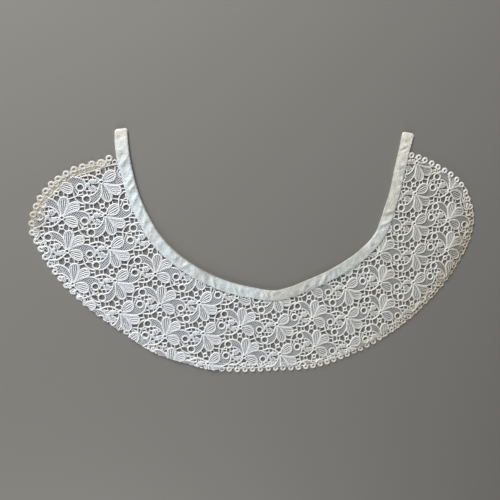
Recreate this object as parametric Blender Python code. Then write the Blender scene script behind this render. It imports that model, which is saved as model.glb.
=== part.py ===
"""Lace collar laid flat: a crescent of flowered lace, a ring edging round its rim, a satin neck binding.

Metres, +Z up. The underside is flat at z = 0, the neck opens towards +Y, and the origin is the
middle of the collar's own box, on the surface that it lies on.
"""
import math

import bmesh
import bpy
import numpy as np
from mathutils.geometry import delaunay_2d_cdt

MM = 0.001

# Driving sizes
LACE_THICKNESS = 1.2 * MM
PETAL_RELIEF = 0.5 * MM
PETAL_CROWN = 0.86              # a petal's crown against its foot
SEAM_GAP = 0.3 * MM
BINDING_WIDTH = 10.5 * MM
BINDING_THICKNESS = 2.4 * MM
BINDING_CORNER = 2.5 * MM       # radius of the binding's corners at its two ends
RING_DIAMETER = 6.0 * MM
FIRST_RING_GAP = 3.0 * MM       # from the binding's left arm to the first ring, more than the seam
HEADING_WIDTH = 2.4 * MM        # the plain band behind the rings that is sewn to the lace
EDGING_THICKNESS = 1.4 * MM
LINE_SPACING = 6.0 * MM
FINE_SPACING = 1.0 * MM
FEATURE_MARGIN = 0.8 * MM       # lace left between a hole or petal and the cut edge

# The neck edge from the left end to the right one, seen from above
NECK_COLUMNS = ("x_mm", "y_mm")
NECK_EDGE = (
    (-118.5, 124.0), (-118.0, 92.0), (-111.5, 58.5), (-97.5, 27.0), (-74.0, 1.5), (-45.5, -17.0),
    (-17.5, -27.5), (7.5, -32.0), (22.0, -30.0), (36.5, -25.5), (60.5, -16.5), (87.0, -1.5),
    (106.0, 21.0), (116.0, 49.5), (122.0, 79.5), (128.5, 110.0),
)

# The line that the ring tips follow, from the binding's left arm round to its right arm, and how far
# apart the rings are there. The trimming wavers on the lower left, where it was drawn under the lace.
RIM_COLUMNS = ("x_mm", "y_mm", "ring_pitch_mm")
RIM = (
    (-129.5, 103.0, 7.6), (-139.0, 102.0, 7.6), (-150.5, 99.0, 7.6), (-169.0, 93.5, 7.6), (-187.0, 82.5, 7.6),
    (-201.0, 67.0, 7.7), (-208.0, 50.0, 7.8), (-209.0, 41.0, 7.8), (-206.0, 30.5, 7.8), (-190.0, -6.0, 7.7),
    (-166.0, -36.5, 7.7), (-136.0, -65.5, 7.7), (-117.0, -82.5, 7.8), (-97.0, -93.5, 7.8), (-84.5, -99.5, 7.8),
    (-63.0, -109.0, 7.8), (-46.0, -113.0, 7.8), (-21.5, -116.5, 7.9), (3.5, -118.5, 7.9), (28.5, -121.0, 7.8),
    (46.5, -120.5, 7.6), (62.5, -117.5, 7.5), (82.0, -111.5, 7.5), (102.5, -104.0, 7.5), (123.0, -93.0, 7.5),
    (144.0, -79.5, 7.6), (160.0, -66.0, 7.7), (173.5, -53.0, 7.7), (185.0, -39.0, 7.7), (194.0, -25.0, 7.7),
    (202.0, -10.5, 7.8), (208.0, 7.0, 7.9), (209.0, 22.0, 8.1), (206.5, 33.5, 8.4), (203.0, 43.5, 8.4),
    (198.0, 53.5, 8.3), (189.0, 64.0, 8.2), (179.5, 71.0, 8.2), (168.0, 77.5, 8.0), (158.5, 82.5, 7.8),
    (144.0, 89.0, 7.5), (137.0, 91.0, 7.5),
)

# The lace repeat. Flowers stand in columns half a repeat apart, and every second column is turned over
# along the rows. The drawn-in cloth leans and bows a little, which the last values give.
HALF_REPEAT = 36.0 * MM
ROW_PITCH = 30.5 * MM
CHART_ROW = 30.1 * MM           # the same pitch as the repeat is charted in
TURNED_RISE = 2.0 * MM          # where the turned-over flowers stand above their row
COLUMNS = range(-6, 7)
ROWS = range(-5, 6)
GRAIN_START = (1.0 * MM, -6.0 * MM)
GRAIN_LEAN = 1.24 * MM          # sideways, for each row down
GRAIN_BOW = 0.14 * MM           # down, for each column squared
GRAIN_EASE = (0.23 * MM, 0.31 * MM)  # sideways and down, for each row squared

# What is cut through in one flower's share of the repeat, about its centre eyelet
HOLE_COLUMNS = ("along_mm", "up_mm", "width_mm", "height_mm", "sides")
HOLES = (
    (18.0, 5.3, 4.8, 4.8, 8),
    (-13.75, -13.95, 5.2, 5.2, 8),
    (-5.75, 8.95, 4.2, 4.6, 5),
    (-20.0, -13.3, 4.5, 4.5, 5),
    (-22.0, -7.6, 3.6, 4.4, 5),
    (-0.75, 4.95, 4.7, 3.4, 5),
    (2.05, 8.75, 3.2, 4.0, 5),
)

# The three ribbed petals of one flower
PETAL_COLUMNS = ("from_eyelet_mm", "heading_deg", "length_mm", "width_mm")
PETALS = (
    (3.2, 37.0, 11.4, 8.6),
    (3.2, -37.5, 15.6, 8.6),
    (3.2, -79.0, 15.0, 8.0),
)
PETAL_POINTS = 7
PETAL_TAPER = 1.6               # how far out a petal is at its widest

# The folded binding in section, from the neck side over the top to the lace side
FOLD_COLUMNS = ("across", "up")  # shares of the width and of the thickness
FOLD = (
    (0.04, 0.0), (0.0, 0.35), (0.02, 0.72), (0.09, 0.95), (0.25, 1.0),
    (0.75, 0.96), (0.93, 0.82), (1.0, 0.45), (0.97, 0.0),
)

# One ring of the edging in outline, as turns away from straight out
RING_TURNS_DEG = (-78.0, -40.0, 0.0, 40.0, 78.0)
LINK_DEPTH = 0.35               # the link between two rings, as a share of a ring's radius out from its middle

# Colours, roughness
COTTON = ((0.86, 0.87, 0.88, 1.0), 0.9)
EDGING_COTTON = ((0.88, 0.85, 0.80, 1.0), 0.9)
SATIN = ((0.83, 0.86, 0.86, 1.0), 0.45)


def table(rows, columns):
    """One array in metres for each named column of a table in millimetres."""
    return {name: np.array([row[k] for row in rows]) * MM for k, name in enumerate(columns)}


def smooth_line(rows, columns, spacing):
    """Points about `spacing` apart on a smooth curve through the stations of a table, with all its columns.

    Each stretch is a cubic between two stations, with the slope there taken from both neighbours.
    """
    named = table(rows, columns)
    stations = np.stack([named[name] for name in columns], axis=1)
    steps = np.hypot(np.diff(named["x_mm"]), np.diff(named["y_mm"]))
    at = np.concatenate([[0.0], np.cumsum(steps)])
    slopes = np.gradient(stations, at, axis=0, edge_order=2)
    place = np.linspace(0.0, at[-1], round(at[-1] / spacing) + 1)
    k = np.clip(np.searchsorted(at, place) - 1, 0, len(steps) - 1)
    s = ((place - at[k]) / steps[k])[:, None]
    h = steps[k][:, None]
    return ((2 * s**3 - 3 * s**2 + 1) * stations[k] + (s**3 - 2 * s**2 + s) * h * slopes[k]
            + (3 * s**2 - 2 * s**3) * stations[k + 1] + (s**3 - s**2) * h * slopes[k + 1])


def directions(line):
    """Unit vectors along a line, and the ones to its right, away from the neck."""
    along = np.gradient(line, axis=0)
    along /= np.linalg.norm(along, axis=1, keepdims=True)
    return along, np.stack([along[:, 1], -along[:, 0]], axis=1)


def moved_out(line, distance):
    """The line moved to its right by a distance."""
    return line + distance * directions(line)[1]


def distance_to(line, points):
    """How far each point is from the nearest point of a finely divided line."""
    return np.linalg.norm(points[:, None, :] - line[None, :, :], axis=2).min(axis=1)


def spaced(line, pitch):
    """Points on a line about one pitch apart, both ends included. The pitch may be one for each point."""
    steps = np.linalg.norm(np.diff(line, axis=0), axis=1)
    pitches = np.broadcast_to(pitch, len(line))
    at = np.concatenate([[0.0], np.cumsum(2 * steps / (pitches[1:] + pitches[:-1]))])
    place = np.linspace(0.0, at[-1], round(at[-1]) + 1)
    return np.stack([np.interp(place, at, line[:, k]) for k in range(2)], axis=1)


def inside(outline, points):
    """Which points lie inside a closed outline: an odd number of its edges lies to their right."""
    start, end = outline, np.roll(outline, -1, axis=0)
    x, y = points[:, 0][:, None], points[:, 1][:, None]
    spans = (start[:, 1] > y) != (end[:, 1] > y)
    rise = np.where(end[:, 1] == start[:, 1], 1.0, end[:, 1] - start[:, 1])
    crossing = start[:, 0] + (y - start[:, 1]) / rise * (end[:, 0] - start[:, 0])
    return (spans & (x < crossing)).sum(axis=1) % 2 == 1


def on_cloth(column, row, along, up):
    """Where a charted place of the flower in a column and row lies on the bowed cloth."""
    turned = column % 2 == 1
    height = TURNED_RISE - up if turned else up
    u = column + along / HALF_REPEAT
    v = row - height / CHART_ROW
    x = GRAIN_START[0] + HALF_REPEAT * u + GRAIN_LEAN * v + GRAIN_EASE[0] * v**2
    y = GRAIN_START[1] - ROW_PITCH * v - GRAIN_BOW * u**2 - GRAIN_EASE[1] * v**2
    return np.stack([x, y], axis=1)


def hole_chart(hole):
    """A rounded hole: points round an ellipse."""
    named = dict(zip(HOLE_COLUMNS, hole))
    turn = np.arange(named["sides"]) * 2 * math.pi / named["sides"]
    along = named["along_mm"] + named["width_mm"] / 2 * np.cos(turn)
    up = named["up_mm"] + named["height_mm"] / 2 * np.sin(turn)
    return along * MM, up * MM


def petal_chart(petal):
    """A teardrop: its width is the sine of the turn, thinned towards the root by a power of the half turn."""
    named = dict(zip(PETAL_COLUMNS, petal))
    turn = np.arange(PETAL_POINTS) * 2 * math.pi / PETAL_POINTS
    fullest = 0.69              # the highest value of the product below at this taper
    out = named["from_eyelet_mm"] + named["length_mm"] * (1 - np.cos(turn)) / 2
    side = named["width_mm"] / 2 * np.sin(turn) * np.sin(turn / 2)**PETAL_TAPER / fullest
    heading = math.radians(named["heading_deg"])
    along = out * math.cos(heading) - side * math.sin(heading)
    up = out * math.sin(heading) + side * math.cos(heading)
    return along * MM, up * MM


def repeated(charts, outline):
    """Each charted shape at every flower of the cloth, where it lies whole inside the outline."""
    shapes = []
    edge = spaced(np.concatenate([outline, outline[:1]]), FINE_SPACING)
    for along, up in charts:
        for column in COLUMNS:
            for row in ROWS:
                shape = on_cloth(column, row, along, up)
                if inside(outline, shape).all() and distance_to(edge, shape).min() > FEATURE_MARGIN:
                    shapes.append(shape)
    return shapes


def runs_clockwise(loop):
    """Whether a closed outline runs clockwise, from the sign of its area."""
    after = np.roll(loop, -1, axis=0)
    return (loop[:, 0] * after[:, 1] - loop[:, 1] * after[:, 0]).sum() < 0


def triangles_of(loops):
    """The triangles inside the first loop, each with the numbers of the loops that hold it."""
    flat = np.concatenate(loops)
    starts = np.cumsum([0] + [len(loop) for loop in loops])
    faces = [list(range(a, b)) for a, b in zip(starts[:-1], starts[1:])]
    faces = [face[::-1] if runs_clockwise(loop) else face for face, loop in zip(faces, loops)]
    result = delaunay_2d_cdt([tuple(p) for p in flat.tolist()], [], faces, 1, 1e-7)
    source = [ids[0] for ids in result[3]]
    return [([source[k] for k in face], set(ids)) for face, ids in zip(result[2], result[5])]


def flat_solid(outline, thickness, holes=(), raised=(), relief=0.0):
    """A sheet with a cut outline, holes right through it, and raised places on its top."""
    cut = [outline, *holes]
    every = [*cut, *raised]
    starts = np.cumsum([0] + [len(loop) for loop in every])
    hole_ids = set(range(1, len(cut)))
    raised_ids = set(range(len(cut), len(every)))
    work = bmesh.new()
    below = [work.verts.new((x, y, 0.0)) for x, y in np.concatenate(cut)]
    above = [work.verts.new((x, y, thickness)) for x, y in np.concatenate(every)]
    crown = {}
    for loop_id in raised_ids:
        loop = every[loop_id]
        middle = loop.mean(axis=0)
        for k, (x, y) in enumerate(middle + PETAL_CROWN * (loop - middle)):
            crown[starts[loop_id] + k] = work.verts.new((x, y, thickness + relief))
    for corners, loops in triangles_of(cut):
        if not loops & hole_ids:
            work.faces.new([below[k] for k in corners[::-1]])
    for corners, loops in triangles_of(every):
        if loops & raised_ids:
            work.faces.new([crown[k] for k in corners])
        elif not loops & hole_ids:
            work.faces.new([above[k] for k in corners])
    for loop_id, loop in enumerate(every):
        first, count = starts[loop_id], len(loop)
        for k in range(count):
            here, after = first + k, first + (k + 1) % count
            if loop_id in raised_ids:
                work.faces.new((above[here], above[after], crown[after], crown[here]))
            else:
                work.faces.new((below[here], below[after], above[after], above[here]))
    bmesh.ops.recalc_face_normals(work, faces=work.faces)
    return work


def folded_strip(line):
    """The binding: its folded section carried along the neck edge, with round corners at both ends."""
    steps = np.linalg.norm(np.diff(line, axis=0), axis=1)
    at = np.concatenate([[0.0], np.cumsum(steps)])
    corner = np.array([0.0, 0.15, 0.5]) * BINDING_CORNER
    middle = np.linspace(BINDING_CORNER, at[-1] - BINDING_CORNER, round(at[-1] / LINE_SPACING))
    place = np.concatenate([corner, middle, at[-1] - corner[::-1]])
    right = directions(line)[1]
    point = np.stack([np.interp(place, at, line[:, k]) for k in range(2)], axis=1)
    across = np.stack([np.interp(place, at, right[:, k]) for k in range(2)], axis=1)
    left = np.clip(BINDING_CORNER - np.minimum(place, at[-1] - place), 0.0, None)
    inset = BINDING_CORNER - np.sqrt(BINDING_CORNER**2 - left**2)
    fold = {name: np.array([row[k] for row in FOLD]) for k, name in enumerate(FOLD_COLUMNS)}
    work = bmesh.new()
    rings = []
    for centre, side, drawn_in in zip(point, across, inset):
        width = drawn_in + fold["across"] * (BINDING_WIDTH - 2 * drawn_in)
        rings.append([work.verts.new((*(centre + w * side), h * BINDING_THICKNESS))
                      for w, h in zip(width, fold["up"])])
    count = len(FOLD)
    for ring, after in zip(rings[:-1], rings[1:]):
        for k in range(count):
            m = (k + 1) % count
            work.faces.new((ring[k], ring[m], after[m], after[k]))
    work.faces.new(rings[0])
    work.faces.new(rings[-1][::-1])
    bmesh.ops.recalc_face_normals(work, faces=work.faces)
    return work


def lace_outline(neck, rim):
    """The crescent's cut edge: along the binding, and back behind the ring edging."""
    band = RING_DIAMETER + HEADING_WIDTH + SEAM_GAP
    outer = moved_out(rim, -band)
    outer = outer[distance_to(neck, outer) > BINDING_WIDTH + 2 * SEAM_GAP]
    inner = moved_out(neck, BINDING_WIDTH + SEAM_GAP)
    first, last = (np.linalg.norm(inner - end, axis=1).argmin() for end in (outer[0], outer[-1]))
    inner = spaced(inner[first:last + 1], LINE_SPACING)
    return np.concatenate([spaced(outer, LINE_SPACING), inner[::-1]])


def edging_outline(neck, rim, pitch):
    """The ring edging: an arc for each ring, a shallow link between two, and a plain inner edge."""
    radius = RING_DIAMETER / 2
    middle = moved_out(rim, -radius)
    clear = np.flatnonzero(distance_to(neck, middle) > BINDING_WIDTH + SEAM_GAP + radius)
    clear = clear[round(FIRST_RING_GAP / FINE_SPACING):]
    centres = spaced(middle[clear], pitch[clear])
    along, out = directions(centres)
    turns = np.radians(RING_TURNS_DEG)
    outer = []
    for k, centre in enumerate(centres):
        if k:
            between = (centres[k - 1] + centre) / 2
            outer.append(between + LINK_DEPTH * radius * out[k])
        outer.extend(centre + radius * (math.cos(t) * out[k] + math.sin(t) * along[k]) for t in turns)
    inner = moved_out(rim, -(RING_DIAMETER + HEADING_WIDTH))
    inner = inner[distance_to(neck, inner) > BINDING_WIDTH + SEAM_GAP]
    print("rings in the edging:", len(centres))
    return np.concatenate([np.array(outer), spaced(inner, LINE_SPACING)[::-1]])


def cloth(name, look):
    """A plain matt or satin cloth."""
    colour, roughness = look
    material = bpy.data.materials.new(name)
    material.use_nodes = True
    shader = material.node_tree.nodes["Principled BSDF"]
    shader.inputs["Base Color"].default_value = colour
    shader.inputs["Roughness"].default_value = roughness
    shader.inputs["Metallic"].default_value = 0.0
    return material


def placed(name, work, material, centre):
    """Put a finished shape into the scene as one named object, moved so that the collar is centred."""
    mesh = bpy.data.meshes.new(name)
    work.to_mesh(mesh)
    work.free()
    mesh.materials.append(material)
    piece = bpy.data.objects.new(name, mesh)
    piece.location = (-centre[0], -centre[1], 0.0)
    bpy.context.scene.collection.objects.link(piece)
    return piece


def build():
    for old in list(bpy.data.objects):
        bpy.data.objects.remove(old, do_unlink=True)
    neck = smooth_line(NECK_EDGE, NECK_COLUMNS, FINE_SPACING)
    stations = smooth_line(RIM, RIM_COLUMNS, FINE_SPACING)
    rim, pitch = stations[:, :2], stations[:, 2]
    lace = lace_outline(neck, rim)
    edging = edging_outline(neck, rim, pitch)
    strip = np.concatenate([neck, moved_out(neck, BINDING_WIDTH)])
    every = np.concatenate([edging, strip])
    centre = (every.min(axis=0) + every.max(axis=0)) / 2
    holes = repeated([hole_chart(hole) for hole in HOLES], lace)
    petals = repeated([petal_chart(petal) for petal in PETALS], lace)
    print("holes cut:", len(holes), "petals raised:", len(petals))
    placed("lace_body", flat_solid(lace, LACE_THICKNESS, holes, petals, PETAL_RELIEF),
           cloth("white_guipure", COTTON), centre)
    placed("ring_edging", flat_solid(edging, EDGING_THICKNESS), cloth("cream_guipure", EDGING_COTTON), centre)
    placed("neck_binding", folded_strip(neck), cloth("white_satin", SATIN), centre)


build()
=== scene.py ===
# %% [markdown]
# A lace collar lies flat on a table. Three things are sewn together: a crescent cut from heavy white
# guipure, a trimming of small worked rings round its rim, and a folded satin strip round the neck.
# Guipure is embroidered on a ground that is washed away afterwards, so only thread is left: padded
# cords, ribbed petals, leaves filled with fine net, and short bars that hold it all together.
# A picture of lace on a flat sheet would be quick, but it has no thickness and no real holes.
# So every thread group here is a modelled body that is carried along its own line.

# %% Load the frame
import math

import bpy
import numpy as np
from mathutils import Matrix, Vector


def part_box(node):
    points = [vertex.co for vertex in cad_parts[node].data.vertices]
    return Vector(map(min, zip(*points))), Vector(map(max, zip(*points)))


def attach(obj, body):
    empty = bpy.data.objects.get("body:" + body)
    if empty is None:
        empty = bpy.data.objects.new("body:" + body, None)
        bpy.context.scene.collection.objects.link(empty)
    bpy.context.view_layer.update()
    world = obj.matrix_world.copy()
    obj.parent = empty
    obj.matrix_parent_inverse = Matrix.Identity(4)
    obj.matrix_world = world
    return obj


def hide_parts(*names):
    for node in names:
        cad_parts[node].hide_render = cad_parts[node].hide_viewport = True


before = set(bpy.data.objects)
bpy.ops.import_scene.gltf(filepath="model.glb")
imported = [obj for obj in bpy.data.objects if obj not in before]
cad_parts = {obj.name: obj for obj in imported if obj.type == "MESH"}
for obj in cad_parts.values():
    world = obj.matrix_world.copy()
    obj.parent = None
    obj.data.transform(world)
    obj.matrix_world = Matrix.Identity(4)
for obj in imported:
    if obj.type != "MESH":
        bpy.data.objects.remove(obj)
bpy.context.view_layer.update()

MM = 0.001
print("nodes:", sorted(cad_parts))

# %% [markdown]
# The camera looks down at the table, a little from the neck side and from the left, and is turned so
# that the collar hangs level in the picture. It is made first, so that each later piece can be looked
# at straight away. Its direction comes from two points and from the way that is up in the picture.

# %% Camera
CAMERA_PLACE = Vector((-0.0911, 0.1265, 0.4305))
CAMERA_AIM = Vector((-0.0192, 0.0075, 0.0))
PICTURE_UP = Vector((0.0843, 0.9639, -0.2524))

back = (CAMERA_PLACE - CAMERA_AIM).normalized()
right = PICTURE_UP.cross(back).normalized()
axes = Matrix((right, back.cross(right), back)).transposed()
camera_data = bpy.data.cameras.new("camera")
camera_data.lens = 35.0
camera_data.clip_start = 0.01
camera = bpy.data.objects.new("camera", camera_data)
camera.matrix_world = Matrix.Translation(CAMERA_PLACE) @ axes.to_4x4()
bpy.context.scene.collection.objects.link(camera)
bpy.context.scene.camera = camera
print("camera is", round((CAMERA_PLACE - CAMERA_AIM).length, 3), "m from the collar")

# %% [markdown]
# Lace is made of lines, so lines come first. A Blender curve object could draw them, but lines kept as
# plain arrays of points are easy to measure, to move sideways and to cut. These helpers draw a smooth
# line through a few stations, say which way is out from it and what lies near it, and tell which points
# an outline holds.

# %% Helpers for lines
def smooth_line(stations, spacing):
    """Points about `spacing` apart on a curve through the stations, with any number of columns.

    Each stretch is a cubic between two stations, with the slope there taken from both neighbours.
    """
    stations = np.asarray(stations, float)
    steps = np.linalg.norm(np.diff(stations[:, :2], axis=0), axis=1)
    at = np.concatenate([[0.0], np.cumsum(steps)])
    slopes = np.gradient(stations, at, axis=0, edge_order=min(2, len(stations) - 1))
    place = np.linspace(0.0, at[-1], max(round(at[-1] / spacing), 2) + 1)
    k = np.clip(np.searchsorted(at, place) - 1, 0, len(steps) - 1)
    s = ((place - at[k]) / steps[k])[:, None]
    h = steps[k][:, None]
    return ((2 * s**3 - 3 * s**2 + 1) * stations[k] + (s**3 - 2 * s**2 + s) * h * slopes[k]
            + (3 * s**2 - 2 * s**3) * stations[k + 1] + (s**3 - s**2) * h * slopes[k + 1])


def outward(line):
    """Unit vectors to the right of a line, which is away from the neck on both driving lines."""
    along = np.gradient(line[:, :2], axis=0)
    along /= np.linalg.norm(along, axis=1, keepdims=True)
    return np.stack([along[:, 1], -along[:, 0]], axis=1)


def moved_out(line, distance):
    """A line moved to its right by one distance, or by one for each point."""
    return line[:, :2] + np.reshape(distance, (-1, 1)) * outward(line)


def spaced(line, pitch):
    """Points on a line about one pitch apart, both ends included. The pitch may be one for each point."""
    steps = np.linalg.norm(np.diff(line[:, :2], axis=0), axis=1)
    pitches = np.broadcast_to(pitch, len(line))
    at = np.concatenate([[0.0], np.cumsum(2 * steps / (pitches[1:] + pitches[:-1]))])
    place = np.linspace(0.0, at[-1], round(at[-1]) + 1)
    return np.stack([np.interp(place, at, column) for column in line.T], axis=1)


def nearest(line, points):
    """The number of the nearest point of a finely divided line, and how far it is."""
    away = np.linalg.norm(points[:, None, :2] - line[None, :, :2], axis=2)
    return away.argmin(axis=1), away.min(axis=1)


def inside(outline, points):
    """Which points lie inside a closed outline: an odd number of its edges lies to their right."""
    start, end = outline, np.roll(outline, -1, axis=0)
    x, y = points[:, 0][:, None], points[:, 1][:, None]
    spans = (start[:, 1] > y) != (end[:, 1] > y)
    rise = np.where(end[:, 1] == start[:, 1], 1.0, end[:, 1] - start[:, 1])
    crossing = start[:, 0] + (y - start[:, 1]) / rise * (end[:, 0] - start[:, 0])
    return (spans & (x < crossing)).sum(axis=1) % 2 == 1


print("points on a smooth line 10 long, 1 apart:", len(smooth_line([(0, 0), (10, 0)], 1)))

# %% [markdown]
# A maker starts from two lines: the neck edge, and the line that the tips of the rings follow. Both are
# smooth curves through a few measured stations. The rim also says how far the lace stops short of the
# ring tips, because the trimming is tucked under the lace by more at some places than at others, how
# far apart the rings are, and how much the cotton has browned there.

# %% Two driving lines
BINDING_WIDTH = 10.5 * MM
BINDING_CORNER = 2.5 * MM
NECK_EDGE = (  # x_mm, y_mm
    (-118.5, 124), (-118, 92), (-111.5, 58.5), (-97.5, 27), (-74, 1.5), (-45.5, -17), (-17.5, -27.5),
    (7.5, -32), (22, -30), (36.5, -25.5), (60.5, -16.5), (87, -1.5), (106, 21), (116, 49.5), (122, 79.5),
    (128.5, 110),
)
RIM = (  # x_mm, y_mm, tuck_mm, ring_pitch_mm, browned
    (-129.5, 103, 10, 7.6, 0.3), (-139, 102, 10, 7.6, 0.4), (-150.5, 99, 8.6, 7.6, 0.55),
    (-169, 93.5, 7.2, 7.6, 0.5), (-187, 82.5, 7.6, 7.6, 0.45), (-201, 67, 7.2, 7.7, 0.55),
    (-208, 50, 4.8, 7.8, 0.7), (-209, 41, 4.4, 7.8, 0.4), (-206, 30.5, 4.2, 7.8, 0),
    (-190, -6, 3.6, 7.7, 0), (-166, -36.5, 1.6, 7.7, 0), (-136, -65.5, 0.7, 7.7, 0),
    (-117, -82.5, 0.9, 7.8, 0), (-97, -93.5, 0.6, 7.8, 0), (-84.5, -99.5, 0.8, 7.8, 0),
    (-63, -109, 1.6, 7.8, 0), (-46, -113, 4.6, 7.8, 0), (-21.5, -116.5, 5.2, 7.9, 0),
    (3.5, -118.5, 5.4, 7.9, 0), (28.5, -121, 6.4, 7.8, 0), (46.5, -120.5, 6.4, 7.6, 0.05),
    (62.5, -117.5, 5.4, 7.5, 0.1), (82, -111.5, 5.2, 7.5, 0.2), (102.5, -104, 5.8, 7.5, 0.3),
    (123, -93, 6.2, 7.5, 0.45), (144, -79.5, 6, 7.6, 0.6), (160, -66, 5.2, 7.7, 0.75),
    (173.5, -53, 4.8, 7.7, 0.85), (185, -39, 4.6, 7.7, 0.9), (194, -25, 4.6, 7.7, 0.9),
    (202, -10.5, 5.6, 7.8, 0.95), (208, 7, 6, 7.9, 1), (209, 22, 5.4, 8.1, 0.85),
    (206.5, 33.5, 5.2, 8.4, 0.5), (203, 43.5, 5.2, 8.4, 0.25), (198, 53.5, 5.8, 8.3, 0.15),
    (189, 64, 6, 8.2, 0.05), (179.5, 71, 5.8, 8.2, 0.05), (168, 77.5, 5.4, 8, 0.05),
    (158.5, 82.5, 5, 7.8, 0.1), (144, 89, 6, 7.5, 0.2), (137, 91, 6, 7.5, 0.2),
)
LINE_SPACING = 1.0 * MM
neck = smooth_line(np.array(NECK_EDGE) * MM, LINE_SPACING)
rim = smooth_line(np.array(RIM) * (MM, MM, MM, MM, 1.0), LINE_SPACING)
tuck, ring_pitch, browned = rim[:, 2:].T
rim = rim[:, :2]
strip = np.concatenate([neck, moved_out(neck, BINDING_WIDTH)])
to_frame = np.array(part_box("neck_binding")[0])[:2] - strip.min(axis=0)
neck += to_frame
rim += to_frame
print("neck edge", len(neck), "mm, rim", len(rim), "mm, moved by", (to_frame / MM).round(2), "mm")

# %% [markdown]
# Cords, ribs, bars and net threads are all the same kind of body: a rounded section carried along a
# line. One function makes thousands of them at once. It takes every point of every line in one array,
# with a number that says which line the point belongs to, and works out each section as a half ellipse.
# The underside is flat, because the lace lies on the table.

# %% A rounded section carried along many lines
SHORTEST_STEP = 1e-9


def neighbours(line_of, closed):
    """For each point the one before and the one after on its own line; a closed line goes round."""
    count = len(line_of)
    here = np.arange(count)
    first = np.concatenate([[True], line_of[1:] != line_of[:-1]])
    last = np.concatenate([line_of[1:] != line_of[:-1], [True]])
    start_of = here[first][np.cumsum(first) - 1]
    end_of = here[last][np.cumsum(first) - 1]
    before = np.where(first, np.where(closed, end_of, here), here - 1)
    after = np.where(last, np.where(closed, start_of, here), here + 1)
    return before, after, first & ~closed, last & ~closed


def carried(strands, sides):
    """Rounded bodies along lines: across = half width x cos(turn), up = base + (top - base) x sin(turn).

    The turn runs from 0 to a half circle in `sides` points, and one flat face closes it underneath.
    """
    flat, line_of, closed = strands["place"], strands["line"], strands["closed"]
    before, after, starts, ends = neighbours(line_of, closed)
    along = flat[after] - flat[before]
    step = np.linalg.norm(along, axis=1, keepdims=True)
    side = np.stack([along[:, 1], -along[:, 0]], axis=1) / np.maximum(step, SHORTEST_STEP)
    turn = np.linspace(0.0, math.pi, sides)
    across = strands["half"][:, None] * np.cos(turn)
    up = strands["base"][:, None] + (strands["top"] - strands["base"])[:, None] * np.sin(turn)
    corners = np.concatenate([flat[:, None] + across[..., None] * side[:, None], up[..., None]], axis=2)
    here = np.arange(len(flat))
    span = np.where(ends, 0.0, np.linalg.norm(flat[after] - flat, axis=1)) / MM
    travelled = np.concatenate([[0.0], np.cumsum(span)])[:-1]
    row, column = here[~ends], np.arange(sides)
    beside = (column + 1) % sides
    quads = np.stack([row[:, None] * sides + column, after[row][:, None] * sides + column,
                      after[row][:, None] * sides + beside, row[:, None] * sides + beside], axis=2)
    near, far = travelled[row][:, None], (travelled + span)[row][:, None]
    low, high = column / sides, (column + 1) / sides
    grid_uv = np.stack([np.stack(np.broadcast_arrays(u, v), axis=2) for u, v in
                        ((near, low), (far, low), (far, high), (near, high))], axis=2)
    caps = np.concatenate([here[starts][:, None] * sides + column,
                           here[ends][:, None] * sides + column[::-1]])
    cap_uv = np.stack([np.broadcast_to(travelled[np.concatenate([here[starts], here[ends]])][:, None],
                                       caps.shape), np.broadcast_to(column / sides, caps.shape)], axis=2)
    return {
        "points": corners.reshape(-1, 3),
        "finish": np.repeat(strands["finish"], sides),
        "aged": np.repeat(strands["aged"], sides),
        "faces": [(4, quads.reshape(-1, 4), grid_uv.reshape(-1, 4, 2)), (sides, caps, cap_uv)],
    }


print("on a closed line of 3 points, before each lies point", neighbours(np.zeros(3), np.ones(3, bool))[0])

# %% [markdown]
# A piece has thousands of such bodies. As one object each they would choke Blender, so all of them go
# into one mesh in a few calls, with a UV map that follows the thread and two values at each point: the
# finish, and how browned the cotton is. On the satin strip they hold its painted shade and its warmth.
# A point value costs less than one material for each finish.

# %% One mesh from many bodies
SHARP_FROM_DEG = 62.0


def made_piece(name, parts, material):
    """One mesh object from several sets of points and faces, with its UV map and two values a point."""
    offsets = np.cumsum([0] + [len(part["points"]) for part in parts])
    sets = [(size, faces + offset, uv) for part, offset in zip(parts, offsets)
            for size, faces, uv in part["faces"] if len(faces)]
    corner = np.concatenate([faces.ravel() for _, faces, _ in sets]).astype(np.int32)
    sizes = np.concatenate([np.full(len(faces), size) for size, faces, _ in sets])
    mesh = bpy.data.meshes.new(name)
    mesh.vertices.add(offsets[-1])
    mesh.vertices.foreach_set("co", np.concatenate([part["points"] for part in parts]).ravel())
    mesh.loops.add(len(corner))
    mesh.loops.foreach_set("vertex_index", corner)
    mesh.polygons.add(len(sizes))
    mesh.polygons.foreach_set("loop_start", (np.cumsum(sizes) - sizes).astype(np.int32))
    mesh.update(calc_edges=True)
    layer = mesh.uv_layers.new(name="thread")
    layer.uv.foreach_set("vector", np.concatenate([uv.ravel() for _, _, uv in sets]).astype(np.float32))
    for key in ("finish", "aged"):
        values = np.concatenate([part[key] for part in parts]).astype(np.float32)
        mesh.attributes.new(key, "FLOAT", "POINT").data.foreach_set("value", values)
    mesh.validate()
    mesh.shade_smooth()
    mesh.set_sharp_from_angle(angle=math.radians(SHARP_FROM_DEG))
    mesh.materials.append(material)
    piece = bpy.data.objects.new(name, mesh)
    bpy.context.scene.collection.objects.link(piece)
    print(name, "has", int((sizes - 2).sum()), "triangles")
    return piece


print("edges turn sharp from", SHARP_FROM_DEG, "degrees")
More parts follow.
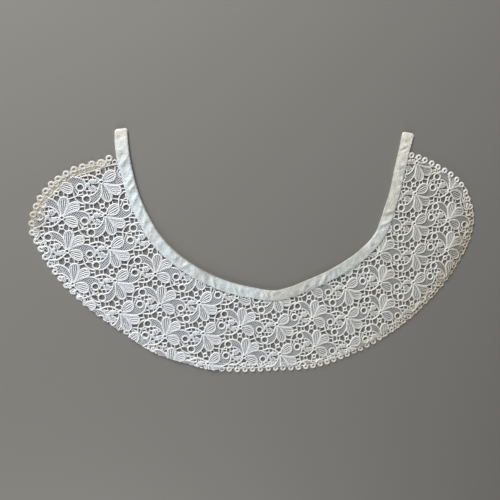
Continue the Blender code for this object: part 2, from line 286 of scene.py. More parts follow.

# %% [markdown]
# The lace is one flower repeated, so only one flower is charted, in millimetres right and up. It was
# read off. Each strand of the chart keeps its width, how high it stands, and its finish: 0 for a
# bright cord, 1 for a matt rib, 2 for a thin net thread. A table names the heights once.

# %% How each kind of strand is worked
KINDS = {  # width_mm, base_mm, top_mm, finish, sides
    "ring": (1.55, 0.10, 1.40, 0.0, 7),
    "cord": (1.38, 0.10, 1.30, 0.0, 7),
    "eyelet": (1.35, 0.10, 1.80, 0.0, 7),
    "petal cord": (1.28, 0.20, 1.60, 0.0, 7),
    "lobe cord": (1.05, 0.20, 1.15, 0.0, 5),
    "bar": (0.98, 0.15, 0.95, 0.0, 5),
    "rib": (1.00, 0.30, 1.20, 1.0, 5),
    "net": (0.76, 0.45, 0.86, 2.0, 4),
    "edge ring": (2.10, 0.05, 1.35, 0.0, 7),
    "edge bar": (1.25, 0.05, 1.05, 0.3, 5),
    "edge cord": (1.35, 0.05, 1.10, 0.3, 5),
    "band": (7.00, 0.02, 0.66, 0.6, 7),
    "stitch": (0.40, 1.20, 2.15, 0.0, 5),
}
STRAND_STEP = 0.75
BAR_STEP = 0.8
BAR_SPREAD = 0.55
ROUND_STEPS = 20
STRAND_VALUES = ("half", "base", "top", "finish", "closed")


def strand(kind, line, half=None, lift=0.0, closed=False):
    """One strand of a named kind along charted points. A half width may be given for each point."""
    width, base, top, finish, sides = KINDS[kind]
    count = len(line)
    half = np.full(count, width / 2) if half is None else half
    return {"line": np.asarray(line, float), "half": half, "base": np.full(count, base + lift / 2),
            "top": np.full(count, top) + lift, "finish": np.full(count, finish),
            "closed": np.full(count, closed), "sides": sides}


def bar(start, end):
    """A short bar that spreads where it joins the cords: half width x (1 + spread x how near an end)."""
    line = smooth_line((start, end), BAR_STEP)
    from_middle = np.linspace(-1.0, 1.0, len(line))
    return strand("bar", line, half=KINDS["bar"][0] / 2 * (1 + BAR_SPREAD * from_middle**2))


def ring(centre, width, height, kind="ring"):
    """A closed ring: the ellipse that runs along the middle of its cord."""
    turn = np.arange(ROUND_STEPS) * 2 * math.pi / ROUND_STEPS
    line = np.stack([centre[0] + width / 2 * np.cos(turn), centre[1] + height / 2 * np.sin(turn)], axis=1)
    return strand(kind, line, closed=True)


print("kinds of strand:", len(KINDS))

# %% [markdown]
# A petal is an outline cord with a fan of ribs inside. Its two sides are charted from root to tip. Rib
# number k lies at the same share of the way across all along, so that the ribs open and close with the
# petal, and thin slits stay open between them. A filled face with a bump for the ribs would be lighter, but
# its slits would be only painted.

# %% Petals
RIB_POINTS = 13
RIB_SPAN = (0.10, 0.93)
RIB_CROWN = 0.35
LEAST_RIB = 0.07
CORD_COVERS = 0.7


def at_shares(line, shares):
    """Points at given shares of a line's length."""
    at = np.concatenate([[0.0], np.cumsum(np.linalg.norm(np.diff(line, axis=0), axis=1))])
    return np.stack([np.interp(shares * at[-1], at, column) for column in line.T], axis=1)


def petal(side_a, side_b, ribs, filled, kind="petal cord"):
    """The outline cord of a petal and the ribs between its two sides, which fill a share of their pitch."""
    outline = smooth_line((*side_a, *side_b[-2::-1]), STRAND_STEP)
    shares = np.linspace(*RIB_SPAN, RIB_POINTS)
    a = at_shares(smooth_line(side_a, STRAND_STEP), shares)
    b = at_shares(smooth_line(side_b, STRAND_STEP), shares)
    gap = np.linalg.norm(b - a, axis=1)
    open_share = np.clip(gap - CORD_COVERS * KINDS[kind][0], 0.0, None) / gap
    found = [strand(kind, outline)]
    for k in range(ribs):
        share = (1 - open_share) / 2 + open_share * (k + 0.5) / ribs
        half = gap * open_share / ribs * filled / 2
        wide = half > LEAST_RIB
        line = a + (b - a) * share[:, None]
        crown = RIB_CROWN * np.sin(math.pi * shares) * np.sin(math.pi * (k + 0.5) / ribs)
        found.append(strand("rib", line[wide], half=half[wide], lift=crown[wide]))
    return found


print("ribs have", RIB_POINTS, "points, from", RIB_SPAN[0], "to", RIB_SPAN[1], "of a petal's length")

# %% [markdown]
# A leaf is only an outline, filled with a net of two sets of crossing threads. Each thread starts as one
# long straight line and is kept where it lies inside the leaf. A square grid clipped by a Boolean would
# give the same net, but its threads couldn't be told apart.

# %% Net-filled leaves
NET_PITCH = 1.6
NET_LEANS_DEG = (38.0, 128.0)
NET_STEP = 2.5
NET_FINE = 0.2
LEAST_NET_RUN = 3


def net(outline):
    """Two sets of parallel threads at even pitch, each cut where it leaves the leaf's outline."""
    outline = np.asarray(outline, float)
    found = []
    for lean in np.radians(NET_LEANS_DEG):
        way = np.array([math.cos(lean), math.sin(lean)])
        off = np.array([-way[1], way[0]])
        shelf, reach = outline @ off, outline @ way
        for offset in np.arange(shelf.min() + NET_PITCH / 2, shelf.max(), NET_PITCH):
            fine = np.arange(reach.min(), reach.max(), NET_FINE)
            line = offset * off + fine[:, None] * way
            held = np.flatnonzero(inside(outline, line))
            for run in np.split(held, np.flatnonzero(np.diff(held) > 1) + 1):
                if len(run) > LEAST_NET_RUN:
                    count = max(round(NET_FINE * len(run) / NET_STEP), 1) + 1
                    kept = np.linspace(run[0], run[-1], count).round().astype(int)
                    found.append(strand("net", line[kept]))
    return found


print("threads in a net 10 mm square:", len(net(((0, 0), (10, 0), (10, 10), (0, 10)))))

# %% [markdown]
# This is the chart itself, for one flower's share of the cloth. Its closed shapes come first: an eyelet in
# the middle, three ribbed petals round it, one small ring and two big ones, and a small three-lobed spray
# on the other side. Each petal and lobe is charted as two sides that run from its root to its tip.

# %% The flower's rings and petals
EYELET = (-0.25, 0.55)
EYELET_RING = ((-0.3, 0.6), 3.4, 3.4)
SMALL_RING = ((-1.75, 9.0), 3.4, 3.4)
BIG_RINGS = (((18.0, 5.8), 6.1, 6.4), ((-14.0, -13.5), 6.4, 6.8))
SHORT_PETAL = (
    ((0.6, 2.2), (1.6, 4.4), (3.2, 7), (5.7, 9.2), (8.7, 10.1), (11, 9), (12.2, 6.7)),
    ((1.4, 0.9), (3.6, 0.5), (6.7, 0.4), (9.7, 1.3), (11.7, 3.7), (12.2, 6.7)),
)
SIDE_PETAL = (
    ((1.2, -0.5), (3, -1.7), (7, -3.5), (11, -4), (14, -4.75), (15.4, -7.2)),
    ((1, -1), (3.7, -3.9), (5.8, -7.8), (7.5, -10.5), (10, -11.7), (12.75, -11.7), (15, -9.6), (15.4, -7.2)),
)
LONG_PETAL = (
    ((-0.3, -1.2), (-0.3, -4), (-1, -8.5), (-1.2, -12), (-0.25, -15), (1.6, -16.9), (3.5, -17.4)),
    ((0.6, -1.3), (3.2, -4.6), (5.3, -8), (7, -11.3), (7.3, -14), (6.1, -16.4), (3.5, -17.4)),
)
LOBES = (
    (((-10, -0.3), (-10.7, 1.5), (-8.9, 3.1), (-6.4, 3.1), (-4.9, 2)),
     ((-9, -0.6), (-7.4, -0.2), (-5.6, 0.2), (-4.8, 1), (-4.9, 2))),
    (((-9.7, -2.2), (-10.9, -3.7), (-10.6, -5.7), (-9, -7), (-6.9, -6.8)),
     ((-8.6, -2), (-6.9, -2.6), (-5.7, -3.7), (-5.5, -5.3), (-6.9, -6.8))),
    (((-10, -2.1), (-11.3, -2.9), (-12.6, -2.2), (-12.8, -1)),
     ((-10, -0.9), (-11.2, 0.4), (-12.5, 0.3), (-12.8, -1))),
)
PETALS = ((SHORT_PETAL, 0.74), (SIDE_PETAL, 0.77), (LONG_PETAL, 0.77))  # sides, share filled by the ribs
PETAL_RIBS = 4
LOBE_RIBS = 3
LOBE_FILLED = 0.78
chart = [ring(*EYELET_RING, "eyelet"), ring(*SMALL_RING, "cord"), *(ring(*big) for big in BIG_RINGS)]
for sides, filled in PETALS:
    chart += petal(*sides, ribs=PETAL_RIBS, filled=filled)
for lobe in LOBES:
    chart += petal(*lobe, ribs=LOBE_RIBS, filled=LOBE_FILLED, kind="lobe cord")
print("strands in the rings, petals and spray:", len(chart))

# %% [markdown]
# Between them run the leaves' edges and the long stem, all plain cord. The leaves hold a fine net, and
# short bars tie each part to the next, because nothing else holds guipure together once its ground is
# washed away. The lists are given: a cord or a bar a row, and for each leaf the outline that its
# net fills.

# %% The flower's cords, nets and bars
CORDS = (
    # the far leaf's edge, round to its ring
    ((2.3, -1), (4.7, -1.7), (7.7, -2.7), (10.7, -3.5), (14, -3.6), (17.3, -2.9), (20.3, -1.3), (22, 1),
     (22.8, 3.5), (22.8, 5), (22.2, 7), (21, 8.8)),
    # the near leaf's outer edge, and its inner one
    ((-0.9, -1.6), (-0.7, -6.7), (-1.6, -11), (-3, -13.4), (-5, -15.7), (-7.7, -17.3), (-10.3, -18),
     (-12.7, -17.7), (-14.7, -16.8)),
    ((-1.9, -1.2), (-2.4, -3), (-3, -4.7), (-4.3, -6.7), (-6.3, -8.8), (-8.3, -10.1), (-10.3, -10.4),
     (-11.8, -10.6)),
    # the arc over the spray, and the long stem
    ((-1.6, 2.2), (-2.3, 3), (-3.7, 4.3), (-5.7, 5.7), (-7.7, 6.8), (-10, 7.4), (-12.3, 7.3), (-14.7, 6.8),
     (-17, 6.3)),
    ((-24.2, -5.5), (-23.8, -8), (-23.5, -10.3), (-22.7, -13), (-21.3, -15), (-19.5, -16.4), (-16.5, -17.4)),
)
NETS = (
    ((2.3, -1), (7.7, -2.7), (14, -3.6), (20.3, -1.3), (22.6, 3.5), (21.2, 8.5), (20.4, 8), (21.2, 5.7),
     (19.9, 3.2), (17.8, 2.5), (15.6, 3.6), (14.9, 6), (13.6, 7.2), (12.4, 7), (11.7, 3.7), (9.7, 1.3),
     (6.7, 0.4), (3, 0.7)),
    ((-0.9, -2), (-0.7, -6.7), (-1.6, -11), (-5, -15.7), (-10.3, -18), (-12.3, -17.4), (-11, -16),
     (-10.5, -13.5), (-11.2, -10.8), (-8.3, -10.1), (-6.3, -8.8), (-4.3, -6.7), (-3, -4.7), (-2.2, -2.7)),
)
BARS = (  # from_right, from_up, to_right, to_up
    (-20.9, 10.3, -16.4, 10.2), (-16.4, 10.2, -15.8, 12.9), (-16.4, 10.2, -16.4, 6.8),
    (-12.3, 12, -12.2, 7.5), (-8.9, 12.4, -9.3, 7.4), (-3.4, 10.2, -5.1, 13.4), (-3.2, 7.6, -4.6, 5.4),
    (-0.5, 10.5, 0.8, 12.8), (-0.1, 7.9, 2.1, 5.7), (-32, -9.6, -31.8, -5.4), (-29, -9.5, -29, -6.9),
    (-28.9, -11.8, -23.8, -10.6), (-10.7, 3.3, -11, 7.3), (-6.7, 3, -7.1, 6.5), (-5, 2.3, -3.8, 4.2),
    (-14.2, 3.6, -10.6, 3.9), (-5.6, -0.3, -2, 0.2), (-6.2, -4.6, -3.1, -4.9), (-6.8, -6.6, -5.5, -8),
    (-9.7, -6.7, -9.6, -10.3), (-14, -6.2, -9.7, -6.4), (-13.2, -6.2, -12.8, -10.1),
    (-16.6, -5.8, -16.2, -10.3), (-20.4, -9.4, -19.6, -5.7), (-20.4, -9.4, -23.5, -10.5),
    (-20.4, -9.4, -17.2, -11.3), (-20.4, -9.4, -16.4, -8.4), (-20.4, -9.4, -22.8, -4.6),
    (-1.8, 0.6, -4.6, 2.6), (-14.8, 4.9, -13.4, 3.4),
)
STAR = (-20.4, -9.4)
STAR_ARMS = 6
STAR_REACH = 1.5
STAR_LEAN = 0.3
STAR_HALVES = (0.5, 0.6, 0.35, 0.2)


def star(centre):
    """A knot: short fat bars from one middle to tips at even turns round it."""
    turns = np.arange(STAR_ARMS) * 2 * math.pi / STAR_ARMS + STAR_LEAN
    tips = [(centre[0] + STAR_REACH * math.cos(t), centre[1] + STAR_REACH * math.sin(t)) for t in turns]
    arms = [np.linspace(centre, tip, len(STAR_HALVES)) for tip in tips]
    return [strand("rib", arm, half=np.array(STAR_HALVES)) for arm in arms]


chart += [strand("cord", smooth_line(cord, STRAND_STEP)) for cord in CORDS]
for leaf in NETS:
    chart += net(leaf)
chart += [bar(row[:2], row[2:]) for row in BARS]
chart += star(STAR)
print("strands in one flower:", len(chart), "with", sum(len(s["line"]) for s in chart), "points")

# %% [markdown]
# The cloth was drawn in a little when the collar was sewn, so the rows lean and bow. One formula places
# each charted point, and every second column of flowers is turned over along the rows. An Array modifier
# could repeat the flower, but its copies would lie in straight rows. The crescent's cut edge is drawn here
# too, from the two driving lines.

# %% Where each flower lies, and where the cloth is cut
HALF_REPEAT = 36.0 * MM
ROW_PITCH = 30.5 * MM
CHART_ROW = 30.1 * MM
TURNED_RISE = 2.0 * MM
GRAIN_START = (1.0 * MM, -6.0 * MM)
GRAIN_LEAN = 1.24 * MM
GRAIN_BOW = 0.14 * MM
GRAIN_EASE = (0.23 * MM, 0.31 * MM)
COLUMNS = range(-7, 8)
ROWS = range(-6, 7)
UNDER_BINDING = 2.6 * MM
CUT_EVERY = 2


def on_cloth(column, row, chart_mm):
    """Where charted places of the flower in a column and row lie on the bowed cloth.

    With u counted along the rows and v down them, x = start + repeat x u + lean x v + ease x v squared, and
    y = start - pitch x v - bow x u squared - ease x v squared.
    """
    along, up = (chart_mm - np.array(EYELET)).T * MM
    height = TURNED_RISE - up if column % 2 else up
    u, v = column + along / HALF_REPEAT, row - height / CHART_ROW
    x = GRAIN_START[0] + HALF_REPEAT * u + GRAIN_LEAN * v + GRAIN_EASE[0] * v**2
    y = GRAIN_START[1] - ROW_PITCH * v - GRAIN_BOW * u**2 - GRAIN_EASE[1] * v**2
    return np.stack([x, y], axis=1) + to_frame


def crescent():
    """The cut edge of the lace: under the binding on one side, over the trimming on the other."""
    inner = moved_out(neck, BINDING_WIDTH - UNDER_BINDING)
    outer = moved_out(rim, -tuck)
    outer = outer[nearest(neck, outer)[1] > BINDING_WIDTH - UNDER_BINDING]
    first, last = (np.linalg.norm(inner - end, axis=1).argmin() for end in (outer[0], outer[-1]))
    return np.concatenate([outer[::CUT_EVERY], inner[first:last + 1:CUT_EVERY][::-1]])


cut = crescent()
print("the crescent is", (np.ptp(cut, axis=0) / MM).round(), "mm, cut through", len(cut), "points")

# %% [markdown]
# Each flower is laid on the cloth whole and then cut, as a maker cuts lace: a point outside the cut is
# dropped, and the first one past it slides back along its thread to the cut. A Boolean modifier could cut
# the mesh instead, but on thousands of crossing bodies it is slow and unsure, and a line is cut at once.

# %% Repeat the flower and cut the crescent
CUT_HALVINGS = 6


def joined(strands):
    """Several strands as one set of arrays, with a number for each line."""
    made = {key: np.concatenate([s[key] for s in strands]) for key in STRAND_VALUES}
    made["chart"] = np.concatenate([s["line"] for s in strands])
    made["line"] = np.repeat(np.arange(len(strands)), [len(s["line"]) for s in strands])
    return made


def cut_out(cloth, cut):
    """Each flower's strands where they lie inside the cut, moved back to it where they cross it.

    The crossing is found by halving the step between the point inside and the one outside a few times.
    """
    held = inside(cut, cloth["place"])
    before, after, _, _ = neighbours(cloth["line"], cloth["closed"])
    whole = np.bincount(cloth["line"], ~held)[cloth["line"]] == 0
    place = cloth["place"].copy()
    crossing = {}
    for beside in (before, after):
        at = np.flatnonzero(~held & held[beside])
        near, far = cloth["place"][beside[at]].copy(), cloth["place"][at].copy()
        for _ in range(CUT_HALVINGS):
            middle = (near + far) / 2
            within = inside(cut, middle)[:, None]
            near, far = np.where(within, middle, near), np.where(within, far, middle)
        place[at] = near
        crossing.update(dict.fromkeys(at.tolist()))
    keep = held.copy()
    keep[list(crossing)] = True
    index = np.flatnonzero(keep)
    runs = np.cumsum(np.concatenate([[True], (np.diff(index) > 1) | (np.diff(cloth["line"][index]) != 0)]))
    made = {key: cloth[key][index] for key in STRAND_VALUES[:-1]}
    made.update(place=place[index], line=runs, closed=(cloth["closed"] & whole)[index])
    size = np.bincount(runs)[runs]
    return {key: value[size > 1] for key, value in made.items()}


by_sides = {}
for kind_sides in sorted({s["sides"] for s in chart}):
    unit = joined([s for s in chart if s["sides"] == kind_sides])
    copies = []
    for column in COLUMNS:
        for row in ROWS:
            placed = dict(unit, place=on_cloth(column, row, unit["chart"]))
            if inside(cut, placed["place"]).any():
                copies.append(dict(placed, column=column))
    by_sides[kind_sides] = copies
print("flowers that the cut touches:", len(by_sides[KINDS["cord"][-1]]))

# %% [markdown]
# Laid cloth is never quite flat. It rises and falls by nearly half a millimetre in long shallow waves,
# thread width varies a little, and the lace is pressed thinner where it enters the binding. A Displace
# modifier could move the finished points. Here each strand's own height and width are changed before its
# body is made, so that its section stays round.

# %% How the cloth lies
WAVE_HEIGHT = 0.45 * MM
WAVE_LENGTHS = (74.0 * MM, 51.0 * MM)
WAVE_BEND = 0.7
WAVE_START = 1.3
WAVES_OVER = 8.0 * MM
WIDTH_VARIES = 0.06
WIDTH_LENGTHS = (3.1 * MM, 2.3 * MM)
TUCK_RAISE = 0.80 * MM
TUCK_OVER = 7.0 * MM
BINDING_RAISE = 0.45 * MM
BINDING_RAISE_OVER = 6.0 * MM
PRESSED = 0.62
PRESSED_OVER = 3.0 * MM
LACE_AGED = 0.6
AGED_OVER = 12.0 * MM
FADE_START = 1.6
SEARCH_EVERY = 3


def waves(place, lengths=WAVE_LENGTHS):
    """Between 0 and 1: half + half x a slow sine across, itself bent by a sine, x a slow sine along."""
    turn_x, turn_y = (2 * math.pi * place[:, k] / lengths[k] for k in (0, 1))
    across = np.sin(turn_x + WAVE_BEND * np.sin(turn_y))
    along = np.sin(turn_y + WAVE_START)
    return 0.5 + 0.5 * across * along


def eased(value):
    """A smooth step from 0 to 1: value squared x (3 - 2 x value)."""
    value = np.clip(value, 0.0, 1.0)
    return value * value * (3 - 2 * value)


def in_metres(cloth, pressed=1.0, raised=0.0, more_aged=1.0):
    """Charted millimetres as they lie on the table, in metres, and how browned the cotton is there."""
    index, from_rim = nearest(rim[::SEARCH_EVERY], cloth["place"])
    varied = 1 + WIDTH_VARIES * (2 * waves(cloth["place"], WIDTH_LENGTHS) - 1)
    aged = more_aged * browned[::SEARCH_EVERY][index] * eased(FADE_START - from_rim / AGED_OVER)
    return dict(cloth, half=cloth["half"] * MM * varied, base=cloth["base"] * MM * pressed + raised,
                top=cloth["top"] * MM * pressed + raised, aged=np.minimum(aged, 1.0))


def settled(cloth):
    """The lace as it lies: pressed and lifted where it enters the binding, lifted by the trimming."""
    place = cloth["place"]
    past_binding = nearest(neck[::SEARCH_EVERY], place)[1] - BINDING_WIDTH
    from_rim = nearest(rim[::SEARCH_EVERY], place)[1]
    pressed = PRESSED + (1 - PRESSED) * eased(past_binding / PRESSED_OVER)
    raised = WAVE_HEIGHT * waves(place) * eased(past_binding / WAVES_OVER)
    raised = raised + BINDING_RAISE * eased(1 - past_binding / BINDING_RAISE_OVER)
    raised = raised + TUCK_RAISE * eased(FADE_START - from_rim / TUCK_OVER)
    return in_metres(cloth, pressed, raised, LACE_AGED)


print("the lace rises and falls by", WAVE_HEIGHT / MM, "mm")

# %% [markdown]
# The lace is cut from one piece of cloth. It is kept as four meshes only so that each one stays light,
# because a very heavy mesh is slow to work with and is thinned when it is exported. Each stretch takes
# whole columns of flowers, so no thread is cut between two of them.

# %% The lace, in four stretches
STRETCHES = (  # name, first and last column of flowers
    ("lace_left_wing", -9, -3), ("lace_left_back", -2, 0), ("lace_right_back", 1, 3),
    ("lace_right_wing", 4, 9),
)


def stretch(low, high):
    """Every strand of the flowers in a range of columns."""
    parts = []
    for sides, copies in by_sides.items():
        chosen = [c for c in copies if low <= c["column"] <= high]
        cloth = {key: np.concatenate([c[key] for c in chosen]) for key in (*STRAND_VALUES, "place")}
        count = max(c["line"].max() for c in chosen) + 1
        cloth["line"] = np.concatenate([c["line"] + k * count for k, c in enumerate(chosen)])
        parts.append(carried(settled(cut_out(cloth, cut)), sides))
    return parts


print("stretches of the lace:", [name for name, *_ in STRETCHES])

# %% [markdown]
# The trimming is a row of small worked rings, each laid by hand, so none is quite round or quite in
# line. A short link joins each ring to the next, a zigzag runs behind them, and near the left end of the
# binding one wheel is larger and has spokes. A ring could be one mesh used many times, but then all
# would be alike.

# %% The row of rings
RING_RADIUS = 3.0
RING_LINE = 1.95
RING_STEPS = 16
RING_SHIFT = 0.16
RING_SQUASH = (0.92, 1.08)
RING_SEAM = 0.3
FIRST_RING_GAP = 3.0
LINK_START = 1.2
LINK_DEPTH = 4.5
ZIGZAG_DEPTHS = (5.4, 8.3)
ZIGZAG_FROM = 14
WHEEL = {"ring": 1, "sunk": 2.3, "reach": 2.65, "spokes": 7, "spoke_half": 0.42}
chance = np.random.default_rng(12)
ring_turn = np.arange(RING_STEPS) * 2 * math.pi / RING_STEPS


def rim_row():
    """The middle of each ring in millimetres, with the ways along the rim and out from it."""
    middle = moved_out(rim, -RING_RADIUS * MM)
    clear = np.flatnonzero(nearest(neck, middle)[1] > BINDING_WIDTH + (RING_SEAM + RING_RADIUS) * MM)
    clear = clear[round(FIRST_RING_GAP * MM / LINE_SPACING):]
    row = spaced(np.column_stack([middle, outward(rim)])[clear], ring_pitch[clear])
    out = row[:, 2:] / np.linalg.norm(row[:, 2:], axis=1, keepdims=True)
    return row[:, :2] / MM, np.stack([-out[:, 1], out[:, 0]], axis=1), out


def worked_rings(centres, along, out, reaches):
    """A ring at each centre, at radius = reach x (1 + squash x cos(2 x (turn - lean)))."""
    squashes = chance.uniform(*RING_SQUASH, len(centres))
    leans = chance.uniform(0, math.pi, len(centres))
    found = []
    for centre, a, o, size, squash, lean in zip(centres, along, out, reaches, squashes, leans):
        reach = size * (1 + (squash - 1) * np.cos(2 * (ring_turn - lean)))[:, None]
        line = centre + reach * (np.cos(ring_turn)[:, None] * o + np.sin(ring_turn)[:, None] * a)
        found.append(strand("edge ring", line, closed=True))
    return found


def wheel_spokes(hub):
    """Bars across the larger wheel, at even turns through its middle."""
    found = []
    for turn in np.arange(WHEEL["spokes"]) * math.pi / WHEEL["spokes"]:
        arm = WHEEL["reach"] * np.array([math.cos(turn), math.sin(turn)])
        spoke = smooth_line((hub - arm, hub + arm), BAR_STEP)
        found.append(strand("edge bar", spoke, half=np.full(len(spoke), WHEEL["spoke_half"])))
    return found


def links(centres, along, out):
    """A short link from each ring to the next, and the zigzag that runs behind them."""
    inner = centres - (LINK_DEPTH - RING_RADIUS) * out
    found = []
    for k in range(len(centres) - 1):
        ends = (inner[k] + LINK_START * along[k], inner[k + 1] - LINK_START * along[k + 1])
        found.append(strand("edge bar", smooth_line(ends, BAR_STEP)))
    crests = centres - (ZIGZAG_DEPTHS[0] - RING_RADIUS) * out
    troughs = (centres[1:] + centres[:-1]) / 2 - (ZIGZAG_DEPTHS[1] - RING_RADIUS) * out[1:]
    zigzag = np.concatenate([np.stack([crests[:-1], troughs], axis=1).reshape(-1, 2), crests[-1:]])
    return [*found, strand("edge bar", zigzag[2 * ZIGZAG_FROM:])]


print("rings in the trimming:", len(rim_row()[0]))

# %% [markdown]
# A cord closes the row along the lace. Along the upper left wing the trimming is bunched, so the row has
# a closed, browned band behind it there, and thirteen rings that have turned over lie on and beside that
# band. On the right, where the cotton is brown, a thin wavy cord runs over the rings and draws them together.

# %% The heading, the band and the turned rings
HEADING_DEPTH = 8.6
BAND = (  # along_rim_mm, depth_mm, half_width_mm
    (8, 7.2, 1.4), (16, 6.6, 3.3), (40, 5.7, 3.7), (66, 6, 4), (80, 6.1, 4.3), (92, 5.9, 4.6),
    (104, 5.6, 4.2), (112, 5, 3.2), (119, 4.6, 1.2),
)
BAND_STEP = 2.0
BAND_AGED = 2.3
TURNED_RINGS = (  # along_rim_mm, depth_mm, radius_mm
    (3.4, 6.6, 1.7), (8.6, 5.6, 1.9), (14.5, 5.3, 1.6), (22.5, 5, 1.8), (30.5, 5.6, 1.6), (39.5, 5, 1.8),
    (49.5, 5.3, 1.6), (58.5, 4.9, 1.8), (67, 5.6, 1.7), (74, 7.4, 1.7), (79.5, 8.8, 2), (85, 7.2, 1.8),
    (89.5, 9.2, 2.2),
)
RIM_CORD = {"depth": 1.7, "from": 506, "to": 708, "half": 0.50, "sway": 0.40, "sway_length": 11.0,
            "second_sway": 0.6, "second_rate": 0.37, "second_start": 1.0}


def rim_cord():
    """The thin cord on the right: depth = mean + sway x the sum of two sines along the rim."""
    at = np.arange(len(rim)) * 2 * math.pi / RIM_CORD["sway_length"]
    second = RIM_CORD["second_sway"] * np.sin(RIM_CORD["second_rate"] * at + RIM_CORD["second_start"])
    depth = RIM_CORD["depth"] + RIM_CORD["sway"] * (np.sin(at) + second)
    line = moved_out(rim, -depth * MM)[RIM_CORD["from"]:RIM_CORD["to"]] / MM
    return strand("edge cord", line, half=np.full(len(line), RIM_CORD["half"]))


def turned_rings():
    """The rings that lie on the band, each round its own middle."""
    found = []
    for place, depth, radius in TURNED_RINGS:
        centre = moved_out(rim, -depth * MM)[round(place)] / MM
        line = centre + radius * np.stack([np.cos(ring_turn), np.sin(ring_turn)], axis=1)
        found.append(strand("edge bar", line, closed=True))
    return found


def heading():
    """The cord that closes the row, at one depth from the ring tips until it meets the binding."""
    line = moved_out(rim, -HEADING_DEPTH * MM)
    return strand("edge cord", line[nearest(neck, line)[1] > BINDING_WIDTH - UNDER_BINDING] / MM)


print("turned rings:", len(TURNED_RINGS))

# %% [markdown]
# The trimming is put together here. Chance moves each ring a little before its links are drawn, so that
# the links follow the rings. The numbers come from one generator with a fixed start, so the collar is
# the same each time the script runs.

# %% The whole trimming
def edging():
    """Every strand of the trimming, in millimetres."""
    centres, along, out = rim_row()
    centres = centres + chance.normal(0.0, RING_SHIFT, centres.shape)
    reaches = np.full(len(centres), RING_LINE)
    centres[WHEEL["ring"]] -= WHEEL["sunk"] * out[WHEEL["ring"]]
    reaches[WHEEL["ring"]] = WHEEL["reach"]
    return [*worked_rings(centres, along, out, reaches), *wheel_spokes(centres[WHEEL["ring"]]),
            *links(centres, along, out), rim_cord(), *turned_rings(), heading()]


def band():
    """The closed heading of the left wing, wider towards the wing's tip."""
    stations = smooth_line(BAND, BAND_STEP)
    depth, half = np.interp(np.arange(len(rim)), stations[:, 0], stations[:, 1]), stations[:, 2]
    line = moved_out(rim, -depth * MM)[stations[:, 0].astype(int)]
    clear = nearest(neck, line)[1] > BINDING_WIDTH - UNDER_BINDING
    return [strand("band", line[clear] / MM, half=half[clear])]


def laid(strands, more_aged=1.0):
    """Strands given in place, not on the bowed cloth, as parts of a piece."""
    parts = []
    for sides in sorted({s["sides"] for s in strands}):
        unit = joined([s for s in strands if s["sides"] == sides])
        parts.append(carried(in_metres(dict(unit, place=unit["chart"] * MM), more_aged=more_aged), sides))
    return parts


edging_parts = laid(edging()) + laid(band(), BAND_AGED)
print("points on the trimming:", sum(len(part["points"]) for part in edging_parts))
